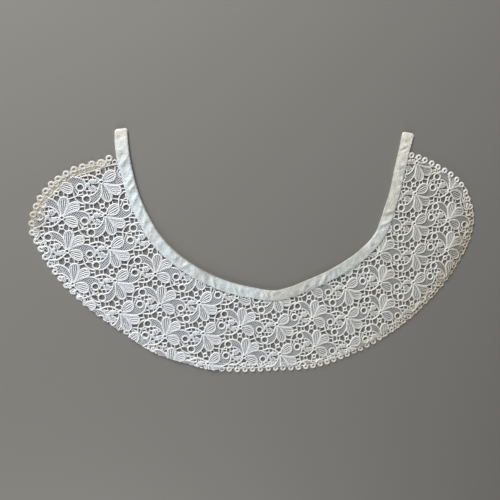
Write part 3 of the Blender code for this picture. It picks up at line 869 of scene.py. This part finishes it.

# %% [markdown]
# The binding is one strip of satin. It was cut straight and eased round a curve, so its upper layer
# creases across. Blender's cloth solver could make such folds, but not these ones. So each crease is one
# soft hump or hollow, charted: where it crosses the strip, how it slants, and how high it stands.

# %% The binding's creases
CREASE_DEPTH = (  # at_mm, times deeper
    (0, 1.9), (100, 1.9), (130, 2.9), (330, 2.9), (400, 2.4), (433, 2.1),
)
CREASES = (  # at_mm, slant_mm, length_mm, height_mm, across_mm, spread_mm
    (7, 3, 2.4, -0.1, 4, 6), (16.5, 7, 2.4, 0.18, 6, 6), (21, 7, 1.8, -0.14, 5, 5),
    (26.5, 9, 1.8, 0.4, 6, 5), (31.5, 6, 1.8, -0.22, 4, 4), (36.5, 3, 2, 0.12, 8.5, 3),
    (43, 9.5, 1.8, 0.4, 5, 5), (46.6, 7, 1.4, -0.24, 3.5, 3.5), (50, 7, 1.5, 0.44, 4, 4),
    (54, 5, 1.8, -0.2, 6, 4), (58.8, 9, 1.8, 0.32, 6, 4.5), (64, 7, 2.2, -0.16, 3, 4),
    (70, 10, 1.9, 0.34, 5, 5), (75, 9, 1.8, -0.2, 6.5, 4), (80, 9.5, 1.8, 0.3, 5.5, 3.5),
    (84.5, 6, 2, -0.12, 4, 4), (89.8, 8, 1.7, 0.24, 5, 3), (95, 3, 2.4, 0.1, 8, 3),
    (101.8, 1, 2.3, 0.3, 5, 6), (107, 3, 2.2, -0.16, 6, 4), (113.5, 2, 3, 0.16, 3, 4),
    (120.5, -3, 1.6, 0.18, 4, 3), (124.5, -1, 2, -0.16, 6, 4), (128, 2, 1.8, 0.22, 8, 2.5),
    (132, -2.5, 1.8, 0.3, 4, 5), (137.5, 4, 2, -0.2, 6, 4), (143, 6, 1.3, 0.12, 4, 3),
    (148, -3, 1.8, -0.12, 6.5, 3), (152.5, 6, 1.8, 0.16, 6, 4), (157, 4, 1.8, -0.14, 4, 4),
    (161.5, 8, 1.4, 0.36, 6, 4.5), (165, 5, 1.3, -0.18, 8, 3), (169, 1, 2.6, 0.16, 4.5, 4),
    (175.5, 5, 1.6, -0.12, 6, 4), (179, 6, 1.4, 0.12, 3, 3), (183, 8, 1.3, 0.32, 6, 4.5),
    (188, 3, 1.4, 0.22, 4, 2.5), (192.5, 4, 2, -0.12, 6, 4), (199.5, 6, 1.5, 0.14, 5.5, 4),
    (206, -3, 1.8, -0.12, 4, 4), (210, 2, 1.6, 0.14, 7, 3), (214, 4, 1.3, 0.26, 5.5, 3.5),
    (216.6, 3, 1, -0.16, 5, 3), (219.4, 5, 1.3, 0.18, 6, 3.5), (226, 1, 2.6, -0.08, 4, 4),
    (232.5, 3, 1.8, 0.1, 6.5, 3), (238.5, 5, 1.6, 0.12, 3.5, 2.5), (243.5, -3, 1.6, -0.1, 5, 4),
    (248.5, -6.5, 1.9, 0.26, 5, 4.5), (254, -3, 1.8, -0.12, 6.5, 4), (260, -4, 1.6, 0.12, 4.5, 4),
    (265, -5, 1.6, -0.14, 6, 4), (269.5, -7, 2, 0.32, 5, 4.5), (275.5, -2, 2.4, 0.14, 3, 3),
    (280.5, -3, 1.5, 0.22, 5.5, 3), (285.5, 5, 1.8, -0.12, 6, 4), (293, 6, 1.4, 0.16, 6, 3.5),
    (297, 6, 1.3, -0.08, 6, 3.5), (304, -2, 2.4, 0.1, 3, 3), (313, 2, 2, -0.1, 6, 4),
    (322.5, -2, 1.8, 0.16, 5, 3.5), (330, 3, 2.2, -0.12, 5, 4), (338, -2, 1.6, 0.1, 7, 3),
    (342.8, 6, 1.6, -0.18, 5, 4), (347.5, 9, 1.6, 0.36, 6, 5), (354, 4, 1.8, -0.16, 5, 4),
    (358.5, 4.5, 1.4, 0.34, 6, 5), (366, 2, 2.2, -0.1, 4, 4), (377, 3, 1.5, 0.14, 6.5, 3.5),
    (383, 3, 1.6, -0.14, 7, 3.5), (388.5, -5, 1.6, 0.16, 6.5, 3), (392.5, -6, 1.2, -0.22, 5, 3.5),
    (395.5, -5, 1.4, 0.22, 4, 3.5), (401.8, 3, 1.5, 0.2, 5.5, 4), (407, 2, 2, -0.12, 6, 4),
    (412, 5, 1.3, 0.14, 7.5, 3), (415.2, 7, 1.2, 0.26, 6, 4.5), (417.6, 6, 1.2, -0.12, 5, 4),
    (420.4, 6, 1.3, 0.34, 4.5, 4), (424, 4, 1.6, -0.16, 5.5, 4), (428, 1, 2.4, 0.08, 6, 4),
)


def creased(at, across):
    """Height of the creases: a bell curve along times a bell curve across for each, slanted, summed."""
    height = np.zeros(np.broadcast_shapes(at.shape, across.shape))
    for place, slant, length, rise, crest, spread in CREASES:
        off = at - place - slant * (across / (BINDING_WIDTH / MM) - 0.5)
        height += rise * np.exp(-(off / length)**2 - ((across - crest) / spread)**2)
    return height * np.interp(at, *np.array(CREASE_DEPTH).T)


print("creases across the binding:", len(CREASES))

# %% [markdown]
# Where the strip was pulled, its edges waver, and wear has left it ivory at both ends and bluish on the left
# arm. Its deeper folds and darker stretches are greyed with painted shade, and a band of painted shade runs
# along the fold at the neck edge. All of these run along the strip, so each is a short table of places along
# the neck. The colours go into the mesh as values at its points, where the satin reads them.

# %% How the binding's edges and colours run
WIDER = (  # at_mm, how much farther the lace side reaches, and the neck side, in mm
    (0, 0, 0), (12, 0.8, 0.1), (26, 1, 0), (36, 0.1, 0.1), (60, 0, -0.1), (86, 0, 0.2), (120, 0, 0),
    (160, -0.2, 0.2), (200, 0, 0.1), (210, 0.4, -0.4), (220, 0.5, -0.7), (232, 0.1, 0.3), (246, -0.4, 0.7),
    (275, -0.5, 0.5), (300, -0.4, 0.8), (316, 0, 0.5), (328, 0.6, -0.7), (336, 0.5, -0.8), (346, 0, 0.6),
    (360, -0.4, 1), (372, -0.2, 0.3), (400, 0, 0.3), (418, 0.1, 0.2), (424, 0.5, 0.4), (433, 0.9, 0.5),
)
WARMTH = (  # at_mm, 0 bluish white, 1 ivory
    (0, 1), (8, 0.7), (16, 0.35), (28, 0.05), (60, 0), (92, 0.2), (100, 0), (136, 0.05), (146, 0.3),
    (156, 0), (205, 0.1), (214, 0.45), (232, 0.65), (250, 0.5), (265, 0.35), (285, 0.15), (300, 0.35),
    (345, 0.4), (362, 0.85), (390, 0.8), (402, 0.7), (412, 0.95), (422, 1), (431, 1),
)
SHADE_ALONG = (  # at_mm, 0 none, 1 fully greyed by painted shade
    (0, 0), (12, 0), (26, 0.06), (40, 0), (88, 0), (95, 0.14), (103, 0), (112, 0), (126, 0.22), (135, 0.06),
    (146, 0.34), (155, 0.18), (180, 0), (205, 0.04), (217, 0.26), (232, 0.44), (250, 0.34), (262, 0.3),
    (285, 0.16), (300, 0.24), (316, 0.22), (332, 0.08), (345, 0), (362, 0.12), (378, 0.06), (402, 0),
    (412, 0), (422, 0), (433, 0),
)
# Painted shade along the fold at the neck edge: its greatest share, how far across it reaches, and over how
# much from each end it fades in.
NECK_FOLD_SHADE = {"share": 0.75, "across": 0.9, "from_end": 6.0}
print("the binding's edges have", len(WIDER), "stations, its colours", len(WARMTH) + len(SHADE_ALONG))

# %% [markdown]
# In section the strip starts under the lace, turns round the neck edge, comes back over the lace, and its
# raw edge is turned in. That middle line is charted once, with half the cloth's thickness on each side.
# Rows of it are then set along the neck, closer together at both ends, where the strip is pinched shut.

# %% The binding's section and its rows
CLOTH = 0.35
FOLD = (  # across_mm, up_mm, share of each crease
    (10.2, 0.26, 0), (7.6, 0.26, 0), (4.8, 0.26, 0), (2.2, 0.26, 0), (1, 0.3, 0), (0.42, 0.6, 0),
    (0.2, 1.15, 0.1), (0.42, 1.7, 0.3), (1, 2.05, 0.5), (1.9, 2.16, 0.9), (3.4, 2.16, 1), (5.4, 2.12, 1),
    (7.4, 2.06, 1), (9, 1.98, 0.8), (9.9, 1.88, 0.4), (10.3, 1.7, 0.2), (9.9, 1.54, 0.2), (8.8, 1.52, 0.2),
    (7.4, 1.56, 0.3),
)
FOLD_STEP = 0.62
ROW_STEP = 0.85
END_ROWS = (0.0, 0.15, 0.4, 0.8, 1.3, 1.9)
END_LENGTH = 2.6


def strip_section():
    """The fold's middle line moved half the cloth's thickness each way, and the creases' share there."""
    fold = smooth_line(FOLD, FOLD_STEP)
    way = np.gradient(fold[:, :2], axis=0)
    normal = np.stack([-way[:, 1], way[:, 0]], axis=1) / np.linalg.norm(way, axis=1, keepdims=True)
    skin = np.concatenate([fold[:, :2] - normal * CLOTH / 2, (fold[:, :2] + normal * CLOTH / 2)[::-1]])
    return skin, np.concatenate([fold[:, 2], fold[::-1, 2]])


def strip_rows():
    """How far along the neck each row lies, and from the nearer end, its place, and the way out there."""
    steps = np.linalg.norm(np.diff(neck, axis=0), axis=1)
    along_neck = np.concatenate([[0.0], np.cumsum(steps)]) / MM
    total = along_neck[-1]
    ends = np.array(END_ROWS)
    count = round((total - 2 * END_LENGTH) / ROW_STEP)
    at = np.concatenate([ends, np.linspace(END_LENGTH, total - END_LENGTH, count), total - ends[::-1]])
    point, out = (np.stack([np.interp(at, along_neck, column) for column in line.T], axis=1)
                  for line in (neck, outward(neck)))
    return at, np.minimum(at, total - at), point, out / np.linalg.norm(out, axis=1, keepdims=True)


print("the strip has", len(strip_rows()[0]), "rows of", len(strip_section()[0]), "points")

# %% [markdown]
# The skin is the section carried along those rows: stretched between the strip's two edges, raised by
# the creases, and closed at both ends. A Solidify modifier could give a single layer its thickness, but a
# skin worked out here can be thinned towards its ends as well.

# %% The folded binding
END_PINCH = (0.35, 1.6)
END_FLATTENED = {"to": 0.72, "over": 30.0}
LEFT_END_SKEW = {"sideways": 1.4, "over": 12.0}


def strip_faces(rows, columns):
    """Quads between the points of the grid, closed round each section, and quads that close both ends."""
    row, column = np.arange(rows - 1)[:, None], np.arange(columns)
    beside = (column + 1) % columns
    quads = np.stack([row * columns + column, row * columns + beside, (row + 1) * columns + beside,
                      (row + 1) * columns + column], axis=2).reshape(-1, 4)
    half = np.arange(columns // 2 - 1)
    ends = np.stack([half, columns - 1 - half, columns - 2 - half, half + 1], axis=1)
    return np.concatenate([quads, ends, (ends + (rows - 1) * columns)[:, ::-1]])


def strip_colours(at, from_end, across):
    """How ivory each point is and how much painted shade greys it: the two tables, and painted shade along
    the neck fold.
    """
    fold_shade = NECK_FOLD_SHADE["share"] * np.exp(-(across / NECK_FOLD_SHADE["across"])**2)
    fold_shade = fold_shade * eased(from_end / NECK_FOLD_SHADE["from_end"])[:, None]
    painted_shade = np.interp(at, *np.array(SHADE_ALONG).T)[:, None] + fold_shade
    return np.repeat(np.interp(at, *np.array(WARMTH).T), across.shape[1]), painted_shade.ravel()


def folded_strip():
    """The strip's skin: the section stretched between the strip's two edges at each row.

    Across = inset + section x reach / width, and up = middle + (section - middle + creases) x closing. Both
    narrow over the last millimetres, so that the ends are rounded in plan and pinched shut.
    """
    width, corner = BINDING_WIDTH / MM, BINDING_CORNER / MM
    skin, share = strip_section()
    at, from_end, point, out = strip_rows()
    along = np.stack([-out[:, 1], out[:, 0]], axis=1)
    inset = corner - np.sqrt(corner**2 - np.clip(corner - from_end, 0.0, None)**2)
    closed = END_PINCH[0] + (1 - END_PINCH[0]) * eased(from_end / END_PINCH[1])
    stations = np.array(WIDER)
    lace_side, neck_side = (np.interp(at, stations[:, 0], stations[:, k]) for k in (1, 2))
    reach = width - 2 * inset + lace_side + neck_side
    across = (inset - neck_side)[:, None] + skin[:, 0] / width * reach[:, None]
    middle = skin[:, 1].mean()
    up = middle + (skin[:, 1] - middle + share * creased(at[:, None], across)) * closed[:, None]
    flattened = END_FLATTENED["to"] + (1 - END_FLATTENED["to"]) * eased(from_end / END_FLATTENED["over"])
    up = up * flattened[:, None]
    skew = LEFT_END_SKEW["sideways"] * eased(1 - at / LEFT_END_SKEW["over"])[:, None] * across / width
    points = (point[:, None] + (across * MM)[..., None] * out[:, None]
              + (skew * MM)[..., None] * along[:, None])
    quads = strip_faces(len(at), len(skin))
    flat = np.stack(np.broadcast_arrays(at[:, None], across), axis=2).reshape(-1, 2)
    # The second value, stored as the strip's finish, is painted shade.
    warm, painted_shade = strip_colours(at, from_end, across)
    return {"points": np.concatenate([points, (up * MM)[..., None]], axis=2).reshape(-1, 3),
            "faces": [(4, quads, flat[quads])], "finish": painted_shade, "aged": warm}


binding_part = folded_strip()
print("points on the binding:", len(binding_part["points"]))

# %% [markdown]
# The strip's turned edge is held down by felling: small slanting stitches, each from the lace up over the
# edge of the fold. They are strands as all the others are. Each starts a little before or after its even
# place, as handwork does.

# %% The sewing
STITCHES = {"first": 9.0, "last": 7.0, "pitch": 3.0, "uneven": 0.25, "foot": 0.35, "head": 0.95, "step": 0.5}


def felling():
    """Small slanting stitches, each from a point outside the strip to one farther on and inside it."""
    at = np.arange(STITCHES["first"], len(neck) - STITCHES["last"], STITCHES["pitch"])
    rows = (at + chance.normal(0.0, STITCHES["uneven"], len(at))).astype(int)
    foot = moved_out(neck, BINDING_WIDTH + STITCHES["foot"] * MM)[rows] / MM
    head = moved_out(neck, BINDING_WIDTH - STITCHES["head"] * MM)[rows + 1] / MM
    return [strand("stitch", smooth_line((a, b), STITCHES["step"])) for a, b in zip(foot, head)]


felling_parts = laid(felling())
print("points on the stitches:", sum(len(part["points"]) for part in felling_parts))

# %% [markdown]
# A material is a tree of shader nodes. It could be joined up by hand in the editor, but written as code it
# can be read and repeated. These helpers make a node with its settings, a sum, a blend of two colours and
# a ramp, so that the finishes below can be read as sentences.

# %% Helpers for shader nodes
def srgb(red, green, blue):
    """A colour in 0 to 255 steps, as the shader wants it: each step's share of 255, made linear light."""
    levels = [c / 255 for c in (red, green, blue)]
    return (*[c / 12.92 if c <= 0.04045 else ((c + 0.055) / 1.055)**2.4 for c in levels], 1.0)


def new_group(name, inputs, outputs):
    """A node group with named sockets, and its input and output nodes."""
    group = bpy.data.node_groups.new(name, "ShaderNodeTree")
    for label, kind, value in inputs:
        socket = group.interface.new_socket(label, in_out="INPUT", socket_type=kind)
        if value is not None:
            socket.default_value = value
    for label, kind in outputs:
        group.interface.new_socket(label, in_out="OUTPUT", socket_type=kind)
    return group, group.nodes.new("NodeGroupInput"), group.nodes.new("NodeGroupOutput")


def node(tree, kind, settings=None, **inputs):
    """A node with its settings, and with each input set to a value or joined to a socket."""
    made = tree.nodes.new(kind)
    for key, value in (settings or {}).items():
        setattr(made, key, value)
    for key, value in inputs.items():
        socket = made.inputs[int(key[1:])] if key[1:].isdigit() else made.inputs[key.replace("_", " ")]
        if isinstance(value, bpy.types.NodeSocket):
            tree.links.new(value, socket)
        else:
            socket.default_value = value
    return made


def math_node(tree, operation, a, b=0.0):
    """The result of one operation on one value or two."""
    return node(tree, "ShaderNodeMath", {"operation": operation}, _0=a, _1=b).outputs[0]


def mixed(tree, factor, a, b):
    """A colour between two: (1 - factor) x a + factor x b."""
    made = node(tree, "ShaderNodeMix", {"data_type": "RGBA"}, _0=factor, _6=a, _7=b)
    return made.outputs[2]


def multiplied(tree, factor, a, b):
    """A colour dulled by a second one: a x ((1 - factor) + factor x b)."""
    made = node(tree, "ShaderNodeMix", {"data_type": "RGBA", "blend_type": "MULTIPLY"}, _0=factor, _6=a, _7=b)
    return made.outputs[2]


def ramped(tree, value, low, high):
    """How far a value has come from low to high, from 0 to 1."""
    return node(tree, "ShaderNodeMapRange", _0=value, _1=low, _2=high, _3=0.0, _4=1.0).outputs[0]


print("a mid grey of 128 is", round(srgb(128, 128, 128)[0], 3), "in linear light")

# %% [markdown]
# This cotton is never one white. Three effects are shared by the materials, so each is a node group. The
# first turns the place on the collar into a tint: cool on the left, warmer and a little darker to the right,
# with faint blotches. The second turns the thread's own UV map into fine ridges where the stitches lie side
# by side. The third says how far down the side of its strand a point lies, so that painted shade can be laid
# in the grooves.

# %% Three shared effects
BLOTCH_SCALE = 22.0
BLOTCHES = (0.48, 0.72)
FUZZ_SCALE = 2600.0
FUZZ = 0.7


def build_white_by_place():
    """Tint by place: cool to warm from left to right, and blotches from noise."""
    colour, value, vector = "NodeSocketColor", "NodeSocketFloat", "NodeSocketVector"
    white = (1, 1, 1, 1)
    group, given, result = new_group(
        "white_by_place",
        [("Place", vector, None), ("Cool", colour, white), ("Warm", colour, white), ("Stain", colour, white),
         ("Turn", value, 0.0), ("Spread", value, 0.1), ("Stained", value, 0.1)],
        [("Colour", colour)])
    x = node(group, "ShaderNodeSeparateXYZ", Vector=given.outputs["Place"]).outputs["X"]
    share = math_node(group, "DIVIDE", math_node(group, "SUBTRACT", x, given.outputs["Turn"]),
                      given.outputs["Spread"])
    share = node(group, "ShaderNodeClamp", Value=math_node(group, "ADD", share, 0.5)).outputs[0]
    tint = mixed(group, share, given.outputs["Cool"], given.outputs["Warm"])
    noise = node(group, "ShaderNodeTexNoise", Vector=given.outputs["Place"], Scale=BLOTCH_SCALE, Detail=3.0)
    blotch = ramped(group, noise.outputs[0], *BLOTCHES)
    amount = math_node(group, "MULTIPLY", blotch, given.outputs["Stained"])
    group.links.new(mixed(group, amount, tint, given.outputs["Stain"]), result.inputs["Colour"])
    return group


def build_stitch_ridges():
    """Height of the stitches: |sine of (along + slant x round) x pi / pitch|, roughened by noise."""
    value, vector = "NodeSocketFloat", "NodeSocketVector"
    group, given, result = new_group(
        "stitch_ridges",
        [("Thread", vector, None), ("Place", vector, None), ("Pitch", value, 0.4), ("Slant", value, 0.5)],
        [("Height", value)])
    parts = node(group, "ShaderNodeSeparateXYZ", Vector=given.outputs["Thread"])
    lean = math_node(group, "MULTIPLY", parts.outputs["Y"], given.outputs["Slant"])
    slanted = math_node(group, "ADD", parts.outputs["X"], lean)
    turn = math_node(group, "DIVIDE", slanted, given.outputs["Pitch"])
    wave = math_node(group, "SINE", math_node(group, "MULTIPLY", turn, math.pi))
    ridge = math_node(group, "ABSOLUTE", wave)
    noise = node(group, "ShaderNodeTexNoise", Vector=given.outputs["Place"], Scale=FUZZ_SCALE, Detail=2.0)
    fuzz = math_node(group, "MULTIPLY", noise.outputs[0], FUZZ)
    group.links.new(math_node(group, "ADD", ridge, fuzz), result.inputs["Height"])
    return group


def build_groove():
    """How far a point lies down the side of its strand: |share round the section - crown| / crown, ramped.

    It is 0 as far as the start of the groove and 1 at the strand's foot; the cotton lays painted shade by it.
    """
    value, vector = "NodeSocketFloat", "NodeSocketVector"
    group, given, result = new_group(
        "groove",
        [("Thread", vector, None), ("Crown", value, 0.4), ("Start", value, 0.4)],
        [("Depth", value)])
    share = node(group, "ShaderNodeSeparateXYZ", Vector=given.outputs["Thread"]).outputs["Y"]
    off = math_node(group, "ABSOLUTE", math_node(group, "SUBTRACT", share, given.outputs["Crown"]))
    down = math_node(group, "DIVIDE", off, given.outputs["Crown"])
    group.links.new(ramped(group, down, given.outputs["Start"], 1.0), result.inputs["Depth"])
    return group


white_by_place = build_white_by_place()
stitch_ridges = build_stitch_ridges()
groove = build_groove()
for group in (white_by_place, stitch_ridges, groove):
    print("node group", group.name, "has", len(group.nodes), "nodes")

# %% [markdown]
# The cotton comes first. The lace and the trimming are worked in the same thread, so one function makes
# both, each with its own tints. It reads two values of each strand: its finish, and how browned it is. By
# the finish, painted shade greys the sides of the ribs, the net threads and the trimming's band, bars and
# cords down into their grooves, and the net threads are a little duller too; the lace's cords and bars get
# none. Towards the right the painted shade deepens and greys the crowns as well. Each colour only dulls the
# one before it.

# %% The cotton
def new_cloth(name, roughness, specular, sheen):
    """A material, its tree, its shader, and the place on the piece."""
    material = bpy.data.materials.new(name)
    material.use_nodes = True
    tree = material.node_tree
    shader = tree.nodes["Principled BSDF"]
    shader.inputs["Roughness"].default_value = roughness
    shader.inputs["Specular IOR Level"].default_value = specular
    shader.inputs["Sheen Weight"].default_value = sheen
    place = node(tree, "ShaderNodeTexCoord").outputs["Object"]
    return material, tree, shader, place


COTTON = {"roughness": 0.86, "specular": 0.25, "sheen": 0.12}
# Painted shade on the ribs: the x over which it deepens towards the right, and how much of it reaches their
# crowns.
RIB_SHADE_X = (-0.10, 0.17)
CROWN_SHADE = 0.32
GROOVE = {"Crown": 0.4, "Start": 0.35}
TWIST = {"Pitch": 0.42, "Slant": 0.6}
TWIST_BUMP = {"Distance": 0.00012, "Strength": 0.6}
BROWN = srgb(205, 195, 178)


def cotton(name, cool, warm, stain, stained, turn, spread, rib, shaded_rib, net_thread):
    """Matt embroidery cotton: tinted by place, greyed by painted shade in its grooves, browned by age, ridged
    by its stitches.
    """
    material, tree, shader, place = new_cloth(name, **COTTON)
    thread = node(tree, "ShaderNodeUVMap", {"uv_map": "thread"}).outputs["UV"]
    white = node(tree, "ShaderNodeGroup", {"node_tree": white_by_place}, Place=place, Cool=cool, Warm=warm,
                 Stain=stain, Stained=stained, Turn=turn, Spread=spread).outputs["Colour"]
    finish = node(tree, "ShaderNodeAttribute", {"attribute_name": "finish"}).outputs["Fac"]
    aged = node(tree, "ShaderNodeAttribute", {"attribute_name": "aged"}).outputs["Fac"]
    # Painted shade: each strand is darkened down its sides into the grooves, and towards the right on its
    # crown too.
    down = node(tree, "ShaderNodeGroup", {"node_tree": groove}, Thread=thread, **GROOVE).outputs[0]
    to_the_right = ramped(tree, node(tree, "ShaderNodeSeparateXYZ", Vector=place).outputs["X"], *RIB_SHADE_X)
    shade_depth = math_node(tree, "MAXIMUM", down, math_node(tree, "MULTIPLY", to_the_right, CROWN_SHADE))
    sides = math_node(tree, "MULTIPLY", shade_depth, ramped(tree, finish, 0.0, 1.0))
    ribs = multiplied(tree, sides, white, mixed(tree, to_the_right, rib, shaded_rib))
    threads = multiplied(tree, ramped(tree, finish, 1.0, 2.0), ribs, net_thread)
    tree.links.new(multiplied(tree, aged, threads, BROWN), shader.inputs["Base Color"])
    ridges = node(tree, "ShaderNodeGroup", {"node_tree": stitch_ridges}, Thread=thread, Place=place,
                  **TWIST).outputs["Height"]
    bump = node(tree, "ShaderNodeBump", Height=ridges, **TWIST_BUMP)
    tree.links.new(bump.outputs[0], shader.inputs["Normal"])
    return material


# The two rib colours are painted shade in the grooves: the first on the left, the second towards the right.
guipure = cotton(
    "guipure", cool=srgb(240, 243, 247), warm=srgb(226, 225, 218), stain=srgb(224, 218, 206), stained=0.22,
    turn=0.05, spread=0.26, rib=srgb(204, 208, 213), shaded_rib=srgb(146, 151, 157),
    net_thread=srgb(224, 225, 227))
trimming = cotton(
    "trimming", cool=srgb(237, 240, 242), warm=srgb(234, 233, 229), stain=srgb(230, 225, 215), stained=0.22,
    turn=-0.05, spread=0.2, rib=srgb(226, 220, 212), shaded_rib=srgb(214, 207, 198),
    net_thread=srgb(232, 232, 234))
for material in (guipure, trimming):
    print("cotton", material.name, "has", len(material.node_tree.nodes), "nodes")

# %% [markdown]
# Satin shows its long floats, so it is smoother than cotton. Small puckers from noise and a fine slanting
# weave give it a soft, uneven sheen. A very low roughness would make it look like wet plastic. Its colour
# goes from bluish to ivory by one value of the mesh, and to grey by the other, which is painted shade. The
# puckers' noise lays further patches of painted shade on it.

# %% The satin
SATIN = {"roughness": 0.40, "specular": 0.45, "sheen": 0.10}
RUMPLE_SCALE = 210.0
RUMPLED = (0.42, 0.66)
PUCKER_SHADE = 0.34
WEAVE = {"Pitch": 0.25, "Slant": 1.0}
PUCKER_BUMP = {"Distance": 0.0022, "Strength": 0.6}
WEAVE_BUMP = {"Distance": 0.00003, "Strength": 0.5}


def satin(name, cool, ivory, painted_shade):
    """Worn silk satin: bluish to ivory by its warmth, greyed by painted shade, with a slanting weave."""
    material, tree, shader, place = new_cloth(name, **SATIN)
    thread = node(tree, "ShaderNodeUVMap", {"uv_map": "thread"}).outputs["UV"]
    warmth = node(tree, "ShaderNodeAttribute", {"attribute_name": "aged"}).outputs["Fac"]
    shade_amount = node(tree, "ShaderNodeAttribute", {"attribute_name": "finish"}).outputs["Fac"]
    rumple = node(tree, "ShaderNodeTexNoise", Vector=place, Scale=RUMPLE_SCALE, Detail=3.0).outputs[0]
    # Painted shade in patches: the colour greys where the pucker noise is high.
    pucker_shade = math_node(tree, "MULTIPLY", ramped(tree, rumple, *RUMPLED), PUCKER_SHADE)
    white = mixed(tree, warmth, cool, ivory)
    # Painted shade: the strip's own values and the pucker patches grey the colour.
    greyed = mixed(tree, math_node(tree, "ADD", shade_amount, pucker_shade), white, painted_shade)
    tree.links.new(greyed, shader.inputs["Base Color"])
    weave = node(tree, "ShaderNodeGroup", {"node_tree": stitch_ridges}, Thread=thread, Place=place,
                 **WEAVE).outputs["Height"]
    soft = node(tree, "ShaderNodeBump", Height=rumple, **PUCKER_BUMP).outputs[0]
    bump = node(tree, "ShaderNodeBump", Height=weave, **WEAVE_BUMP, Normal=soft)
    tree.links.new(bump.outputs[0], shader.inputs["Normal"])
    return material


# The grey is the painted shade.
white_satin = satin(
    "white_satin", cool=srgb(227, 239, 244), ivory=srgb(240, 237, 226), painted_shade=srgb(178, 177, 168))
print("satin", white_satin.name, "has", len(white_satin.node_tree.nodes), "nodes")

# %% [markdown]
# Now each piece can be made, in the order in which a hand would lay them: the lace, the trimming sewn to
# its rim, the binding over its neck edge, and the stitches that hold the binding down. Every mesh is
# already in its place in the frame, so no object is moved.

# %% Make the pieces
wings = [made_piece(name, stretch(low, high), guipure) for name, low, high in STRETCHES]
trim = made_piece("ring_trimming", edging_parts, trimming)
binding = made_piece("folded_binding", [binding_part], white_satin)
stitches = made_piece("felling_stitches", felling_parts, trimming)

# %% [markdown]
# The flat cut of each piece of cloth is worked out here. A stretch of the lace has the part of the
# crescent that its columns of flowers cover, counted on a fine grid of points. The strip was cut as wide
# as its fold is long in section, and the trimming as long as the row of its rings.

# %% Flat cuts
AREA_STEP = 1.0 * MM
CM2 = 1e-4
TRIMMING_WIDTH = 11.0 * MM


def flat_sizes():
    """For each stretch of the lace the width and length of its share of the cut, and that share's area."""
    low, high = cut.min(axis=0), cut.max(axis=0)
    across, along = (np.arange(low[k], high[k], AREA_STEP) for k in (0, 1))
    grid = np.stack(np.meshgrid(across, along), axis=2).reshape(-1, 2)
    grid = grid[inside(cut, grid)]
    column = np.round((grid[:, 0] - to_frame[0] - GRAIN_START[0]) / HALF_REPEAT)
    sizes, areas = [], []
    for name, first, last in STRETCHES:
        share = grid[(column >= first) & (column <= last)]
        sizes.append(tuple(np.ptp(share, axis=0) + AREA_STEP))
        areas.append(len(share) * AREA_STEP**2)
        flat_mm = np.round(np.array(sizes[-1]) / MM).astype(int)
        print(name, "flat", flat_mm, "mm,", round(areas[-1] / CM2), "cm2")
    return sizes, areas


fold_line = smooth_line(FOLD, FOLD_STEP)
BINDING_CUT = (np.linalg.norm(np.diff(fold_line[:, :2], axis=0), axis=1).sum() * MM, len(neck) * MM)
ring_row = rim_row()[0] * MM
row_length = np.linalg.norm(np.diff(ring_row, axis=0), axis=1).sum()
TRIMMING_CUT = (TRIMMING_WIDTH, row_length + 2 * RING_RADIUS * MM)
for label, size in (("binding", BINDING_CUT), ("trimming", TRIMMING_CUT)):
    print(label, "cut", np.round(np.array(size) / MM), "mm")

# %% [markdown]
# White lace can only be read on something darker, so the floor is a plain mid grey.

# %% Floor
FLOOR = srgb(131, 129, 125)
FLOOR_HALF = 3.0
FLOOR_ROUGHNESS = 0.8
floor_mesh = bpy.data.meshes.new("floor")
floor_corners = [(x * FLOOR_HALF, y * FLOOR_HALF, 0.0) for x, y in ((-1, -1), (1, -1), (1, 1), (-1, 1))]
floor_mesh.from_pydata(floor_corners, [], [(0, 1, 2, 3)])
floor = bpy.data.objects.new("floor", floor_mesh)
bpy.context.scene.collection.objects.link(floor)
paper = bpy.data.materials.new("paper")
paper.use_nodes = True
paper_shader = paper.node_tree.nodes["Principled BSDF"]
paper_shader.inputs["Base Color"].default_value = FLOOR
paper_shader.inputs["Roughness"].default_value = FLOOR_ROUGHNESS
floor_mesh.materials.append(paper)
print("the floor is", 2 * FLOOR_HALF, "m wide")

# %% [markdown]
# One large soft light behind the collar, past its open side, rakes over the threads so that each throws a
# small soft shadow, and a weak one from the opposite side keeps those shadows open. The view is kept
# plain, so that white cotton stays white.

# %% Light
LIGHTS = (  # name, place_m, size_m, watts, tint
    ("key", (-0.52, 1.14, 0.63), 0.80, 27.8, (1.0, 0.995, 0.98)),
    ("fill", (-0.35, -0.90, 0.32), 0.50, 6.0, (1.0, 0.99, 0.97)),
)
ROOM = {"Color": (0.8, 0.82, 0.85, 1.0), "Strength": 0.10}


def soft_light(name, place, size, watts, tint):
    """A square soft box that looks at the collar."""
    data = bpy.data.lights.new(name, "AREA")
    data.size = size
    data.energy = watts
    data.color = tint
    lamp = bpy.data.objects.new(name, data)
    turned = Vector(place).to_track_quat("Z", "Y").to_matrix().to_4x4()
    lamp.matrix_world = Matrix.Translation(place) @ turned
    bpy.context.scene.collection.objects.link(lamp)


for light in LIGHTS:
    soft_light(*light)
world = bpy.data.worlds.new("room")
world.use_nodes = True
for key, value in ROOM.items():
    world.node_tree.nodes["Background"].inputs[key].default_value = value
bpy.context.scene.world = world
bpy.context.scene.view_settings.view_transform = "Standard"
print("lights:", [name for name, *_ in LIGHTS])

# %% [markdown]
# Last, the solid parts that the pieces stand for are hidden but kept, and every piece, the binding and
# its stitches too, is parented where it lies to one empty, body:root.

# %% Hide the solid parts and attach the pieces
for piece, size, area in zip(wings, *flat_sizes()):
    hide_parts("lace_body")
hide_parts("ring_edging")
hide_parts("neck_binding")
for piece, slot in (*((wing, "guipure") for wing in wings), (trim, "edging"), (binding, "satin"),
                    (stitches, "edging")):
    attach(piece, "root")
print("handed over:", len(wings), "stretches of lace,", trim.name, binding.name, stitches.name)
